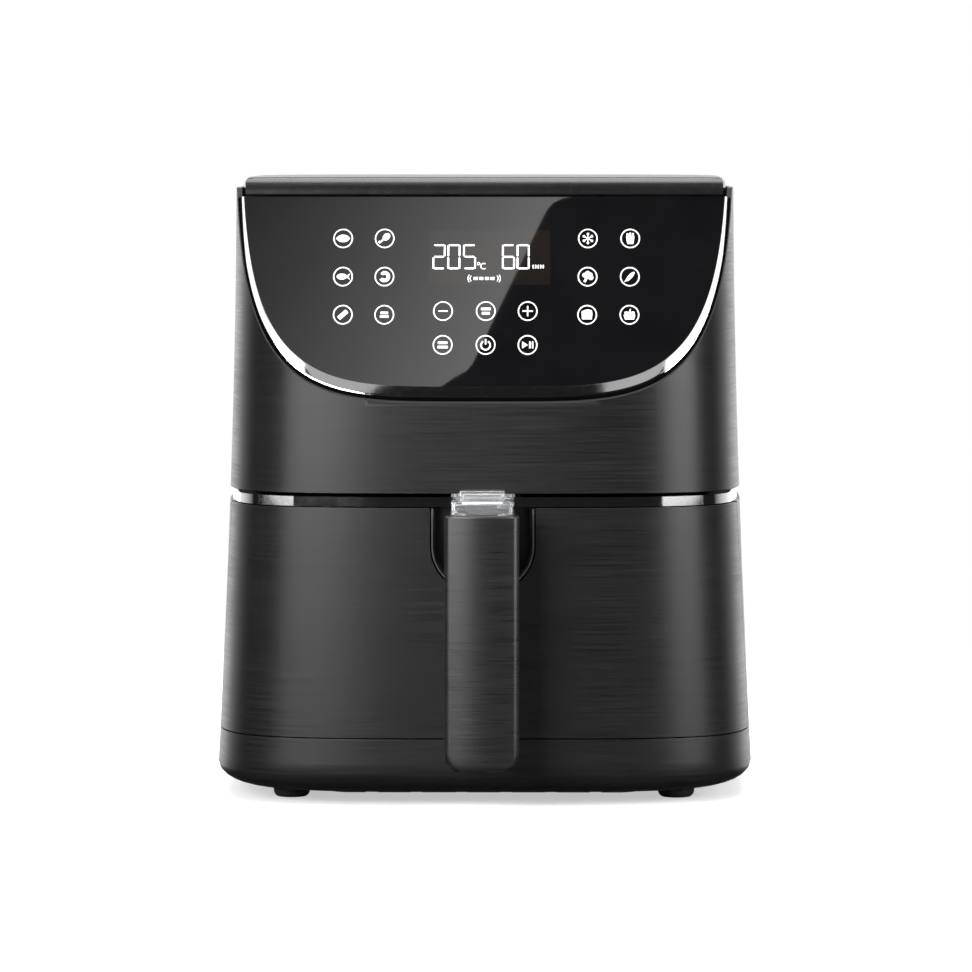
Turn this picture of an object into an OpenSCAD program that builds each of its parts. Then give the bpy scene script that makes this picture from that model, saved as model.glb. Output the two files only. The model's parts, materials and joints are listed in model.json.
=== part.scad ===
// Counter-top air fryer: a squircle barrel housing sliced by a sloped touch panel, over a pull-out
// drawer whose basket lifts out by its handle. +Z is up and -Y faces the user. The origin lies on
// the table under the middle of the overall box, and body_shift moves the barrel's axis behind it.

/* [Body] */
// Widest width of the body, near its foot
body_w = 281; // [278:1:300]
// How far each side leans in from the widest line to the top
side_lean = 9.8; // [4:0.2:11]
// Greatest depth of the body, near its foot
body_d = 298; // [296:1:320]
// Depth of the body at its top
top_d = 282; // [280:1:300]
// Overall height
body_h = 322; // [320:1:336]
// Squareness of the plan outline, where 2 is an ellipse
plan_power = 3.8; // [3.7:0.1:4.6]
// How quickly the walls flare out towards the foot
flare_power = 1.7; // [1.4:0.1:2.2]
// Height of the widest line
widest_z = 16; // [15:0.5:18]
// How far the lower edge rolls inwards
roll_w = 22; // [18:1:24]
// Wall of the moulded housings
wall = 2.6; // [2.2:0.1:3]
// Height of the housing's underside above the table
ground_gap = 5.6; // [5:0.2:7]

/* [Lid] */
// Height of the lid above the bottom of its front nose
lid_h = 9.7; // [8.5:0.1:12]
// Depth of the lid's side wall inside the housing's rim
lid_inset = 3.4; // [3:0.1:4.5]
// Radius of the lid's rolled edge
lid_roll = 5.2; // [3:0.2:5.6]
// How far the housing's rim stays below the top
rim_drop = 5.6; // [5:0.1:7]

/* [Sloped panel] */
// Lean of the panel back from the vertical
panel_tilt = 33; // [31:0.5:35]
// How far below the top the slice meets the front of the barrel
slice_drop = 114.7; // [110:0.1:116]
// How far the trim's inner lip stands out from the slice
trim_rise = 1.5; // [1:0.1:2]
// Width of the trim, measured in from the barrel's surface
trim_w = 3.45; // [3:0.05:5]
// Thickness of the panel glass
glass_t = 2.5; // [2:0.1:3]
// Depth of the tray behind the glass
tray_depth = 8; // [7:0.5:9]

/* [Band] */
// Height of the chrome band
band_h = 6.7; // [5.5:0.1:7.5]
// Height of the band's bevelled top edge
band_bevel = 1.8; // [1.2:0.1:2.2]
// How far the band is set in from the barrel's surface
band_inset = 1.5; // [1:0.1:1.8]

/* [Drawer] */
// Height of the drawer front's lower seam
drawer_z = 34.3; // [33:0.1:36]
// Height of the drawer front
drawer_h = 118.6; // [117:0.2:122]
// Gap round the drawer front
seam_gap = 0.6; // [0.5:0.1:0.8]
// Radius of the drawer front's lower rear corners
drawer_corner_r = 10; // [6:1:12]
// Distance of the side seam in front of the barrel's axis, at its top
seam_top_y = 82; // [80:1:88]
// Distance of the side seam in front of the barrel's axis, at its bottom
seam_foot_y = 69; // [68.5:0.5:72]
// Thickness of the drawer front
front_t = 2.8; // [2.4:0.1:3.2]
// Space between the pan and the body's widest line, on each side
pan_side = 24; // [23.5:0.5:27]
// Space between the back of the pocket and the pan
pocket_space = 4.6; // [4.6:0.2:8]
// Corner radius of the pan
pan_r = 46; // [44:1:50]
// Sheet thickness of the pan and the basket
sheet = 1.2; // [1:0.1:1.6]
// Space between the pan and the basket
basket_gap = 1.6; // [1.4:0.1:3]
// Height of the basket floor above the pan floor
basket_lift = 12; // [10:0.5:16]
// Diameter of the holes in the basket floor
perforation_d = 6.5; // [5:0.1:7]
// Spacing of the holes in the basket floor
perforation_pitch = 15; // [14:0.5:20]

/* [Handle] */
// Width of the handle
handle_w = 37.8; // [36:0.2:40]
// Reach of the handle's face in front of the barrel's axis
handle_reach = 198; // [196:1:204]
// Height of the handle's lower tip
handle_z = 21.4; // [16:0.2:26]
// Thickness of the grip from front to back
grip_t = 18; // [16:0.5:20]
// How far the handle's face bows forward
handle_bow = 3; // [0:0.5:4]
// Radius of the crown across the handle's face
handle_crown_r = 40; // [38:1:90]
// Height of the handle's head
head_h = 23; // [22:0.5:26]
// Half the width of the pocket in the drawer front
pocket_half_w = 27.1; // [25:0.1:30]
// Height of the bottom of the pocket
pocket_z = 108.2; // [106:0.2:109]
// Travel of the release button
button_travel = 2.5; // [2:0.1:2.5]
// Width of the clear button cover
cover_w = 31.5; // [30:0.1:33]

/* [Hot air] */
// Radius of the outer turn of the heating element
element_r = 82; // [80:0.5:84]
// Spacing of the element's two turns
element_pitch = 13; // [12:0.5:14]
// Diameter of the element's tube
element_d = 6.5; // [6:0.1:7]
// Radius of the hot-air fan
hot_fan_r = 58; // [50:1:60]
// Number of blades on the hot-air fan
hot_fan_blades = 12; // [8:1:16]
// Radius of the cooling fan
cool_fan_r = 55; // [45:1:58]
// Number of blades on the cooling fan
cool_fan_blades = 7; // [5:1:9]
// Radius of the motor shaft
shaft_r = 3; // [2.5:0.1:3.5]
// Running clearance round the shaft and the latch pin
run_gap = 0.05; // [0.03:0.01:0.09]

/* [Rear and foot] */
// Width of the rear air outlet
outlet_w = 118; // [100:1:124]
// Height of the rear air outlet
outlet_h = 62; // [56:1:66]
// Rows of slots in the rear air outlet
outlet_rows = 8; // [6:1:9]
// Radius of the hole for the mains lead
cord_hole_r = 4; // [3.5:0.1:4.5]
// Diameter of the rubber feet
foot_d = 19; // [16:0.5:22]
// Distance of the feet from the middle, to each side
foot_x = 100; // [94:1:101]
// Distance of the feet from the barrel's axis, to front and back
foot_y = 96; // [90:1:97]

/* [Hidden] */
$fn = 48;
far = 400;
tiny = 0.01;
ring_steps = 64;
body_shift = (handle_reach - body_d / 2) / 2;
half_w = body_w / 2;
half_d = body_d / 2;
rim_z = body_h - rim_drop;
top_w = body_w - 2 * side_lean;
slice_z = body_h - slice_drop;
lid_z = body_h - lid_h;
drawer_top = drawer_z + drawer_h;
band_z = drawer_top + seam_gap;
housing_z = band_z + band_h + 0.2;
lower_top = band_z - 0.1;
deck_t = 2.2;
deck_z = lower_top + tiny;
floor_t = 2.2;
floor_z = drawer_z - floor_t - 0.4;
rail_h = 7;
pan_z = floor_z + floor_t + rail_h + 0.3;
pan_rim_z = drawer_top - 3.4;
pan_cy = -2;
rim_lip = 1.6;
basket_z = pan_z + basket_lift;
bay_gap = 1.6;
front_y = -(top_d / 2 + (body_d - top_d) / 2 * 0.376);
pocket_back_y = front_y + 17.4;
pan_w = body_w - 2 * pan_side;
pan_d = 2 * (pan_cy - pocket_back_y - pocket_space);
bay_w = pan_w + 2 * (rim_lip + bay_gap);
bay_d = pan_d + 2 * (rim_lip + bay_gap);
bay_r = pan_r + rim_lip + bay_gap;
frame_y = -seam_foot_y + 3;
frame_t = 2.5;
mouth_w = pan_w - 10;
mouth_d = pan_d - 10;
chamber_z = deck_z + deck_t;
chamber_roof = chamber_z + 34.4;
dish_r = element_r + element_d / 2 + 3;
dish_roof = chamber_roof + 17;
element_z = chamber_roof - 13;
shield_z = dish_roof + 5;
motor_z = dish_roof + 13.5;
motor_h = 40.5;
motor_r = 36;
cool_fan_z = motor_z + motor_h + 9;
cool_fan_h = 13;
cool_hub_r = 13;
cool_blade_w = 18;
cool_blade_t = 1.6;
shaft_top = cool_fan_z + cool_fan_h + 0.8;
hot_fan_z = chamber_roof - 1.5;
hot_fan_h = dish_roof - hot_fan_z - 4;
shaft_foot = hot_fan_z - 5;
handle_top = drawer_top - 2;
head_z = handle_top - head_h;
neck_y = pocket_back_y - 3.4;
strap_t = 1.6;
strap_w = 30;
ear_w = 6;
ear_h = 18;
ear_x = (strap_w - ear_w) / 2 - 0.6;
strap_drop = 32;
strap_z = pan_rim_z + sheet + 0.3;
strap_front_y = front_y - 5.6;
pin_y = front_y - 22;
pin_z = handle_top - 10.9;
pin_r = 1.5;
hook_z = handle_top - 30.9;
press_arm = 9;
button_y = pin_y - 10.2;
button_l = 24;
button_top = handle_top + 3.5;
top_plate_t = 2.3;
cover_l = 28;
cover_rear_y = strap_front_y - 0.4;
cover_h = 6.9;
slot_half_w = 7;
pocket_drop = 24.8;
pocket_steps = 24;
outlet_z = housing_z + 4.5;
gland_z = 56;

// ---- Outline of the barrel ----
function flare(z) = pow(max(0, body_h - max(z, widest_z)) / (body_h - widest_z), flare_power);
function roll(z) = z >= widest_z ? 0
    : roll_w * (1 - sqrt(1 - pow((widest_z - z) / (widest_z - ground_gap + 0.2), 2)));
function barrel_w(z) = top_w / 2 + (body_w - top_w) / 2 * flare(z) - roll(z);
function barrel_d(z) = top_d / 2 + (body_d - top_d) / 2 * flare(z) - roll(z);
// Extra inset that keeps an inner wall parallel to the rolled lower edge
function inner_inset(z, t) = t + roll(z - t) - roll(z);
function squircle(w, d, power) = [for (i = [0:ring_steps - 1]) let (a = 360 * i / ring_steps)
    [sign(cos(a)) * w * pow(abs(cos(a)), 2 / power), sign(sin(a)) * d * pow(abs(sin(a)), 2 / power)]];
function barrel_ring(z, inset) = squircle(barrel_w(z) - inset, barrel_d(z) - inset, plan_power);
// Half width of the barrel at height z and distance y from its axis
function half_width_at(y, z, inset) = let (s = 1 - pow(min(1, abs(y) / (barrel_d(z) - inset)), plan_power))
    (barrel_w(z) - inset) * pow(max(0, s), 1 / plan_power);
function lift(points, z) = [for (p = points) [p[0], p[1], z]];

// Closed solid through rings of equal point count, listed from the bottom up
module ring_solid(rings) {
    n = len(rings[0]);
    m = len(rings);
    polyhedron(points = [for (r = rings) for (p = r) p], faces = concat(
        [[for (i = [0:n - 1]) i]],
        [for (k = [0:m - 2]) for (i = [0:n - 1])
            let (j = (i + 1) % n) [k * n + i, (k + 1) * n + i, (k + 1) * n + j, k * n + j]],
        [[for (i = [n - 1:-1:0]) (m - 1) * n + i]]));
}

// Closed tube: outer rings from the bottom up, then inner rings from the top down
module ring_shell(outer, inner) {
    n = len(outer[0]);
    rings = concat(outer, [for (i = [len(inner) - 1:-1:0]) inner[i]]);
    m = len(rings);
    polyhedron(points = [for (r = rings) for (p = r) p], faces = [for (k = [0:m - 1]) for (i = [0:n - 1])
        let (j = (i + 1) % n, q = (k + 1) % m) [k * n + i, q * n + i, q * n + j, k * n + j]]);
}

// Barrel surfaces from [height, inset] pairs
function barrel_rings(levels) = [for (l = levels) lift(barrel_ring(l[0], l[1]), l[0])];
module barrel(levels) ring_solid(barrel_rings(levels));
module barrel_shell(outer, inner) ring_shell(barrel_rings(outer), barrel_rings(inner));

// Moves a piece from the barrel's axis to the part's own origin
module placed() translate([0, body_shift, 0]) children();

// Extrudes a side-view outline, drawn as [y, z], across the width w
module across(w) translate([-w / 2, 0, 0]) rotate([90, 0, 90]) linear_extrude(w) children();

// Extrudes a front-view outline, drawn as [x, z], from y0 back to y1
module deep(y0, y1) translate([0, y1, 0]) rotate([90, 0, 0]) linear_extrude(y1 - y0) children();

module rounded(w, d, r) {
    square([w - 2 * r, d], center = true);
    square([w, d - 2 * r], center = true);
    for (x = [-1, 1], y = [-1, 1]) translate([x * (w / 2 - r), y * (d / 2 - r)]) circle(r);
}

// Outline of a rounded tub as a list of points
corner_steps = 8;
function tub_ring(w, d, r, z) = [for (c = [0:3]) for (i = [0:corner_steps])
    let (a = 90 * c + 90 * i / corner_steps, sx = c == 0 || c == 3 ? 1 : -1, sy = c < 2 ? 1 : -1)
    [sx * (w / 2 - r) + r * cos(a), sy * (d / 2 - r) + r * sin(a) + pan_cy, z]];

// ---- Sloped panel frame: local X right, Y up the slope, Z out of the panel ----
slice_y = -barrel_d(slice_z);
module on_slope() translate([0, slice_y, slice_z]) rotate([90 - panel_tilt, 0, 0]) children();
function slope_y(v, w) = slice_y + v * sin(panel_tilt) - w * cos(panel_tilt);
function slope_z(v, w) = slice_z + v * cos(panel_tilt) + w * sin(panel_tilt);
function slope_foot(w, inset) = let (z1 = slope_z(6, w),
    v1 = (-barrel_d(z1) + inset - slice_y + w * cos(panel_tilt)) / sin(panel_tilt), z2 = slope_z(v1, w))
    (-barrel_d(z2) + inset - slice_y + w * cos(panel_tilt)) / sin(panel_tilt);
function slope_at(z, w) = (z - slice_z - w * sin(panel_tilt)) / cos(panel_tilt);
function slope_half_w(v, w, inset) = half_width_at(slope_y(v, w), slope_z(v, w), inset);
slope_steps = 20;
// Right half of the U outline where the plane at w leaves the barrel, from near the middle to the top
function slope_curve(w, inset, top) = let (foot = slope_foot(w, inset))
    [for (i = [1:slope_steps]) let (v = foot + (top - foot) * pow(i / slope_steps, 3))
        [slope_half_w(v, w, inset), v]];
function u_points(w, inset, top) = let (c = slope_curve(w, inset, top))
    concat([for (i = [slope_steps - 1:-1:0]) [-c[i][0], c[i][1]]], c);
module u_plate(w, inset, z0, z1, top) translate([0, 0, z0]) linear_extrude(z1 - z0)
    polygon(u_points(w, inset, top));
glass_z = trim_rise - 0.4;
glass_inset = trim_w + 0.15;
glass_top = slope_at(lid_z - 0.3, glass_z);
tray_inset = wall + 0.5;
tray_front = glass_z - glass_t;
tray_top = slope_at(rim_z - 14, tray_front);

// ---- Housing ----
module top_cover() color([0.05, 0.05, 0.055]) placed() {
    nose_y = slope_y(slope_at(lid_z, glass_z), glass_z) - 1.2;
    side = [[lid_z, 0.6, 1.4], [lid_z + 2, 0, 0.2], [rim_z, 0, 0], [body_h - lid_roll * 0.62, 0.5, 0.5],
        [body_h - lid_roll * 0.3, 1.7, 1.7], [body_h - lid_roll * 0.1, 3.4, 3.4], [body_h - 0.2, lid_roll,
            lid_roll]];
    outer = [for (s = side) clipped_ring(s[0], lid_inset + s[1], nose_y + s[2])];
    crown = clipped_ring(body_h, lid_inset + 3 * lid_roll, nose_y + 3 * lid_roll);
    difference() {
        ring_solid(concat(outer, [crown]));
        ring_solid([for (z = [lid_z - 1, body_h - 3.4]) clipped_ring(z, lid_inset + 2.4, nose_y + 3)]);
    }
}

// Barrel ring whose front is cut off straight at y
function clipped_ring(z, inset, y) = let (w = barrel_w(z) - inset, d = barrel_d(z) - inset,
    a0 = -asin(pow(abs(y) / d, plan_power / 2)), steps = 52)
    [for (i = [0:steps]) let (a = a0 + (180 - 2 * a0) * i / steps)
        [sign(cos(a)) * w * pow(abs(cos(a)), 2 / plan_power), sign(sin(a)) * d * pow(abs(sin(a)),
            2 / plan_power), z]];

module control_panel() color([0.03, 0.03, 0.035]) placed() on_slope()
    u_plate(glass_z, glass_inset, tray_front, glass_z, glass_top);

// U-shaped bezel between the glass and the edge of the slice
module panel_trim() color([0.8, 0.8, 0.82]) placed() on_slope() {
    top = slope_at(lid_z - 0.3, trim_rise);
    under = -1.2;
    seat = -0.2;
    outlines = [for (s = [[0.1, 0.5], [1.1, 1.3], [trim_rise, trim_w - 0.5], [trim_rise - 0.2, trim_w],
        [under, trim_w], [under, wall + 0.4], [seat, wall + 0.4], [seat, 0.5]])
        [for (p = u_points(s[1] >= trim_w ? glass_z : s[0], s[1], top)) [p[0], p[1], s[0]]]];
    n = len(outlines[0]);
    m = len(outlines);
    polyhedron(points = [for (o = outlines) for (p = o) p], faces = concat(
        [for (k = [0:m - 1]) for (i = [0:n - 2])
            let (q = (k + 1) % m) [k * n + i, k * n + i + 1, q * n + i + 1, q * n + i]],
        [for (part = [[0, 1, 2, 3, 6, 7], [3, 4, 5, 6]]) [for (k = part) k * n]],
        [for (part = [[7, 6, 3, 2, 1, 0], [6, 5, 4, 3]]) [for (k = part) k * n + n - 1]]));
}

// Moulded tray behind the glass, which holds the boards
module panel_tray() color([0.12, 0.12, 0.12]) placed() on_slope() difference() {
    u_plate(tray_front, tray_inset, tray_front - tray_depth, tray_front - 0.05, tray_top);
    u_plate(tray_front, tray_inset + 8, tray_front - tray_depth - 1, tray_front - 1.6, tray_top - 8);
    translate([0, display_v, tray_front]) cube([display_w + 1, display_h + 1, 8], center = true);
}
display_w = 66;
display_h = 36;
display_drop = 28.3;
display_v = tray_top - display_drop;
display_t = 5;
board_z = tray_front - 1.6 - display_t;

module display_module() color([0.9, 0.9, 0.88]) placed() on_slope()
    translate([-display_w / 2, display_v - display_h / 2, board_z])
        cube([display_w, display_h, display_t + 1.4]);

module touch_board() color([0.1, 0.35, 0.15]) placed() on_slope() {
    intersection() {
        u_plate(tray_front, tray_inset + 9, board_z - 1.6 - tiny, board_z - tiny, tray_top - 9);
        translate([-touch_w / 2, touch_low, board_z - 5]) cube([touch_w, tray_top, 10]);
    }
    translate([-30, display_v - 42, board_z - 4.6]) cube([14, 14, 3]);
    translate([20, display_v + 4, board_z - 7]) cube([22, 6, 5.4]);
}
touch_w = 190;
touch_low = 24;

module upper_housing() color([0.13, 0.13, 0.13]) placed() difference() {
    barrel_shell([for (k = [0:5]) [housing_z + (rim_z - housing_z) * k / 5, 0]],
        [for (k = [0:2]) [housing_z + (rim_z - housing_z) * k / 2, wall]]);
    on_slope() translate([-far / 2, -far / 2, -0.4]) cube([far, far, far]);
    outlet_block(outlet_w, outlet_h, 0);
}

module outlet_block(w, h, side) translate([-w / 2, half_d / 2, outlet_z + (outlet_h - h) / 2])
    cube([w, half_d, h]);

// Louvred grille over the air outlet, curved with the housing
module rear_outlet_grille() color([0.08, 0.08, 0.08]) placed() difference() {
    intersection() {
        barrel_shell([[housing_z, 0.2], [housing_z + outlet_h * 1.3, 0.2]],
            [[housing_z, wall], [housing_z + outlet_h * 1.3, wall]]);
        outlet_block(outlet_w - 0.6, outlet_h - 0.6, 0);
    }
    row = (outlet_h - 6) / outlet_rows;
    column = (outlet_w - 8) / 4;
    for (i = [0:outlet_rows - 1], k = [0:3])
        translate([-outlet_w / 2 + 4 + column * k + 1.5, half_d / 2, outlet_z + 3 + row * i + row * 0.22])
            cube([column - 3, half_d, row * 0.56]);
}

module chrome_band() color([0.75, 0.75, 0.77]) placed() barrel_shell(
    [[band_z, band_inset], [band_z + band_h - band_bevel, band_inset], [band_z + band_h, 0.3]],
    [[band_z, band_inset + 2.4], [band_z + band_h, band_inset + 2.4]]);

// Side view of the space that the drawer front fills
module drawer_window(gap) {
    zb = drawer_z + gap;
    yb = -seam_foot_y - gap;
    r = drawer_corner_r;
    across(far) {
        polygon([[-far, zb], [yb - r, zb], [yb - r, zb + r], [yb, zb + r],
            [-seam_top_y - gap, band_z + 1], [-far, band_z + 1]]);
        translate([yb - r, zb + r]) circle(r);
    }
}

module lower_housing() color([0.13, 0.13, 0.13]) placed() difference() {
    barrel([for (z = [ground_gap, ground_gap + 1.3, ground_gap + 3.4, ground_gap + 6.5, widest_z,
        drawer_z - 1, 70, 110, lower_top]) [z, 0]]);
    barrel([for (z = [ground_gap + wall, ground_gap + wall + 1.6, ground_gap + wall + 5, widest_z + wall,
        70, lower_top + 1]) [z, inner_inset(z, wall)]]);
    translate([0, 0, ground_gap - 1]) linear_extrude(wall + 2) rounded(plate_w, plate_l, 20);
    foot_places() cylinder(r = 4.05, h = far / 20);
    drawer_window(0);
    translate([0, half_d / 2, gland_z]) rotate([-90, 0, 0]) linear_extrude(half_d) gland_outline(0.05);
}
plate_w = 168;
plate_l = 224;

// Bottom plate with its broad raised ribs
module base_plate() color([0.07, 0.07, 0.07]) placed() {
    translate([0, 0, ground_gap + 0.2]) linear_extrude(wall - 0.2)
        rounded(plate_w - 0.6, plate_l - 0.6, 19.7);
    translate([0, 0, ground_gap - rib_drop]) linear_extrude(rib_drop + 0.3) intersection() {
        for (i = [-3:3]) translate([i * rib_pitch, 0]) square([rib_w, plate_l - 3], center = true);
        rounded(plate_w - 0.6, plate_l - 0.6, 19.7);
    }
}
rib_pitch = 23.2;
rib_w = 17.4;
rib_drop = 2.2;

module foot_places() for (x = [-1, 1], y = [-1, 1]) translate([x * foot_x, y * foot_y, 0]) children();

// Four push-in rubber feet, each domed down to its flat tread
module rubber_feet() color([0.04, 0.04, 0.04]) placed() foot_places() rotate_extrude()
    polygon(concat([[0, 0]], [for (t = [0:18:90]) [foot_d / 2 - foot_dome_w * (1 - sin(t)),
        foot_dome_h * (1 - cos(t))]], [[foot_d / 2, ground_gap - 0.05], [4, ground_gap - 0.05],
        [4, ground_gap + wall], [0, ground_gap + wall]]));
foot_dome_w = 3.2;
foot_dome_h = 3.6;

// Keyed hole for the gland, flat below so that it can't turn
module gland_outline(gap) intersection() {
    circle(9 + gap);
    translate([-9 - gap, -7 - gap]) square([18 + 2 * gap, 16 + 2 * gap]);
}

module cord_gland() color([0.06, 0.06, 0.06]) placed() {
    back = barrel_d(gland_z);
    difference() {
        union() {
            translate([0, back - 8, gland_z]) rotate([-90, 0, 0]) linear_extrude(7.6) gland_outline(0);
            translate([0, back - 8, gland_z]) rotate([-90, 0, 0]) cylinder(r = 11.5, h = 8 - wall - 1.3);
        }
        translate([0, back - 20, gland_z]) rotate([-90, 0, 0]) cylinder(r = cord_hole_r, h = 40);
    }
}

// ---- Drawer bay ----
module front_frame() color([0.1, 0.1, 0.1]) placed() difference() {
    intersection() {
        barrel([for (z = [ground_gap + wall + 0.4, ground_gap + wall + 1.6, ground_gap + wall + 5,
            widest_z + wall, 70, lower_top - 0.3]) [z, inner_inset(z, wall) + 0.7]]);
        translate([-far / 2, frame_y, 0]) cube([far, frame_t, far]);
    }
    translate([-bay_w / 2, frame_y - 1, floor_z - 0.1]) cube([bay_w, frame_t + 2, far]);
}

// Floor of the bay, with the two rails that carry the pan
module bay_floor() color([0.1, 0.1, 0.1]) placed() {
    difference() {
        barrel([[floor_z, inner_inset(floor_z, wall) + 0.3], [floor_z + floor_t, wall + 0.3]]);
        for (x = [-1, 1]) translate([x * (bay_w / 2 + far / 4 - 0.3), frame_y + frame_t / 2, floor_z])
            cube([far / 2, frame_t + 0.4, 4 * floor_t], center = true);
    }
    for (x = [-70, 70]) translate([x - 5, -seam_top_y + 4, floor_z + floor_t - 0.2])
        cube([10, half_d - 36 + seam_top_y - 4, rail_h + 0.2]);
}

// Sheet-metal lining of the bay, open to the front
module bay_liner() color([0.7, 0.7, 0.7]) placed() difference() {
    translate([0, pan_cy, floor_z + floor_t]) linear_extrude(lower_top - floor_z - floor_t - tiny)
        difference() {
            rounded(bay_w + 2 * sheet, bay_d + 2 * sheet, bay_r + sheet);
            rounded(bay_w, bay_d, bay_r);
        }
    translate([-far / 2, -far + frame_y + frame_t, 0]) cube([far, far, far]);
    translate([0, half_d / 2, switch_z]) rotate([-90, 0, 0]) cylinder(r = 2, h = half_d);
}

module chamber_deck() color([0.1, 0.1, 0.1]) placed() difference() {
    barrel([[deck_z, band_inset + 2.8], [deck_z + deck_t, band_inset + 2.8]]);
    translate([0, pan_cy, deck_z - 1]) linear_extrude(deck_t + 2) rounded(mouth_w, mouth_d, pan_r);
}

// ---- Hot-air chamber ----
module hot_air_chamber() color([0.75, 0.75, 0.76]) placed() translate([0, pan_cy, 0]) difference() {
    union() {
        translate([0, 0, chamber_z]) linear_extrude(chamber_roof - chamber_z + sheet)
            rounded(mouth_w + 2 * sheet, mouth_d + 2 * sheet, pan_r + sheet);
        translate([0, 0, chamber_z]) linear_extrude(sheet) rounded(mouth_w + 14, mouth_d + 14, pan_r + 7);
        translate([0, 0, chamber_roof]) cylinder(r = dish_r + sheet, h = dish_roof - chamber_roof + sheet,
            $fn = 96);
    }
    translate([0, 0, chamber_z - 1]) linear_extrude(chamber_roof - chamber_z + 1)
        rounded(mouth_w, mouth_d, pan_r);
    translate([0, 0, chamber_roof - 1]) cylinder(r = dish_r, h = dish_roof - chamber_roof + 1, $fn = 96);
    translate([0, 0, chamber_roof]) cylinder(r = shaft_r + 4, h = far);
    element_ends() cylinder(r = element_d / 2 + 0.6, h = far);
    translate([sensor_x, sensor_y, chamber_roof - 1]) cylinder(r = 2.4, h = 5);
    translate([-duct_w / 2, mouth_d / 2 - 2, duct_z]) cube([duct_w, 6, duct_h]);
}
duct_w = 96;
duct_h = 20;
duct_z = chamber_z + 8;
sensor_x = -(mouth_w / 2 - 29.5);
sensor_y = mouth_d / 2 - 33;

module exhaust_duct() color([0.7, 0.7, 0.7]) placed() difference() {
    y0 = pan_cy + mouth_d / 2 + sheet + tiny;
    y1 = barrel_d(duct_z) - wall - 2.4;
    translate([-duct_w / 2 - sheet, y0, duct_z - sheet])
        cube([duct_w + 2 * sheet, y1 - y0, duct_h + 2 * sheet]);
    translate([-duct_w / 2, y0 - 1, duct_z]) cube([duct_w, y1 - y0 + 2, duct_h]);
}

// Angle of the element's terminals, and their two radii
terminal_a = 10;
module element_ends() for (r = [element_r, element_r - element_pitch])
    rotate(terminal_a) translate([r, 0, element_z]) children();

// Two turns of sheathed tube joined by a hairpin, with both ends turned up through the roof
module heating_element() color([0.35, 0.33, 0.32]) placed() translate([0, pan_cy, 0]) {
    turn = 330;
    for (r = [element_r, element_r - element_pitch]) rotate(terminal_a) translate([0, 0, element_z]) {
        rotate_extrude(angle = turn, $fn = 96) translate([r, 0]) circle(d = element_d);
        rotate(turn) translate([r, 0, 0]) sphere(d = element_d + 0.6);
    }
    rotate(terminal_a + turn) translate([element_r - element_pitch / 2, 0, element_z])
        rotate_extrude(angle = 180) translate([element_pitch / 2, 0]) circle(d = element_d);
    element_ends() {
        sphere(d = element_d + 0.6);
        cylinder(d = element_d, h = dish_roof + sheet + 4 - element_z);
    }
}

// Straps that hang the element under the chamber's roof
module element_clips() color([0.6, 0.6, 0.6]) placed() translate([0, pan_cy, 0])
    for (a = [60, 180, 300]) rotate(a) {
        reach = dish_r + 5;
        low = element_z - element_d / 2 - 1.6;
        translate([reach, -5, low]) cube([sheet, 10, chamber_roof - low - tiny]);
        translate([element_r - element_pitch - 5, -5, low])
            cube([reach - element_r + element_pitch + 5 + sheet, 10, 1.5]);
    }

module temperature_sensor() color([0.7, 0.7, 0.68]) placed() translate([sensor_x, pan_cy + sensor_y, 0]) {
    translate([0, 0, chamber_roof - 14]) cylinder(r = 2, h = 20);
    translate([0, 0, chamber_roof + sheet + tiny]) cylinder(r = 5, h = 3, $fn = 6);
}

module thermal_cutout() color([0.85, 0.85, 0.82]) placed()
    translate([-(mouth_w / 2 - 27.5), pan_cy - mouth_d / 2 + 41, chamber_roof + sheet + tiny]) {
        cylinder(r = 8, h = 7);
        translate([-13, -4, 0]) cube([26, 8, 1]);
        for (x = [-5, 3.6]) translate([x, -3, 6]) cube([1.4, 6, 9]);
    }

leg_x = 60;
leg_y = 24;
leg_r = 4;
bridge_t = 2;
bridge_edge = 8;
module leg_places() for (x = [-leg_x, leg_x], y = [-leg_y, leg_y]) translate([x, pan_cy + y, 0]) children();

module heat_shield() color([0.78, 0.78, 0.78]) placed() difference() {
    translate([0, pan_cy, shield_z]) cylinder(r = dish_r + 4, h = 1, $fn = 96);
    translate([0, pan_cy, shield_z - 1]) cylinder(r = shaft_r + 5, h = 4);
    leg_places() translate([0, 0, shield_z - 1]) cylinder(r = leg_r + 0.1, h = 4);
    translate([0, pan_cy, 0]) element_ends() cylinder(r = element_d / 2 + 2, h = far);
}

// Bridge that carries the motor clear of the heat shield
module motor_bracket() color([0.62, 0.62, 0.62]) placed() difference() {
    union() {
        translate([-leg_x - bridge_edge, pan_cy - leg_y - bridge_edge, motor_z - bridge_t])
            cube([2 * (leg_x + bridge_edge), 2 * (leg_y + bridge_edge), bridge_t - tiny]);
        leg_places() {
            translate([0, 0, dish_roof + sheet + tiny])
                cylinder(r = leg_r + 3, h = shield_z - dish_roof - sheet - 2 * tiny);
            translate([0, 0, dish_roof + sheet + tiny])
                cylinder(r = leg_r, h = motor_z - dish_roof - sheet - bridge_t / 2);
        }
    }
    translate([0, pan_cy, motor_z - 5]) cylinder(r = 13, h = 10);
}

// Motor: end bells, laminated stack and the two bearing bosses
module motor() color([0.5, 0.5, 0.52]) placed() translate([0, pan_cy, motor_z]) difference() {
    union() {
        cylinder(r = motor_r - 4, h = motor_h - 4);
        translate([0, 0, 7]) linear_extrude(24) rounded(2 * motor_r, 2 * motor_r, 10);
        translate([0, 0, -3.5]) cylinder(r = 11, h = motor_h + 3.5);
    }
    translate([0, 0, -10]) cylinder(r = shaft_r + run_gap, h = motor_h + 20);
    for (a = [45:90:359]) rotate(a) translate([motor_r - 12, 0, motor_h - 9]) cube([9, 8, 12], center = true);
}

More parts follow.
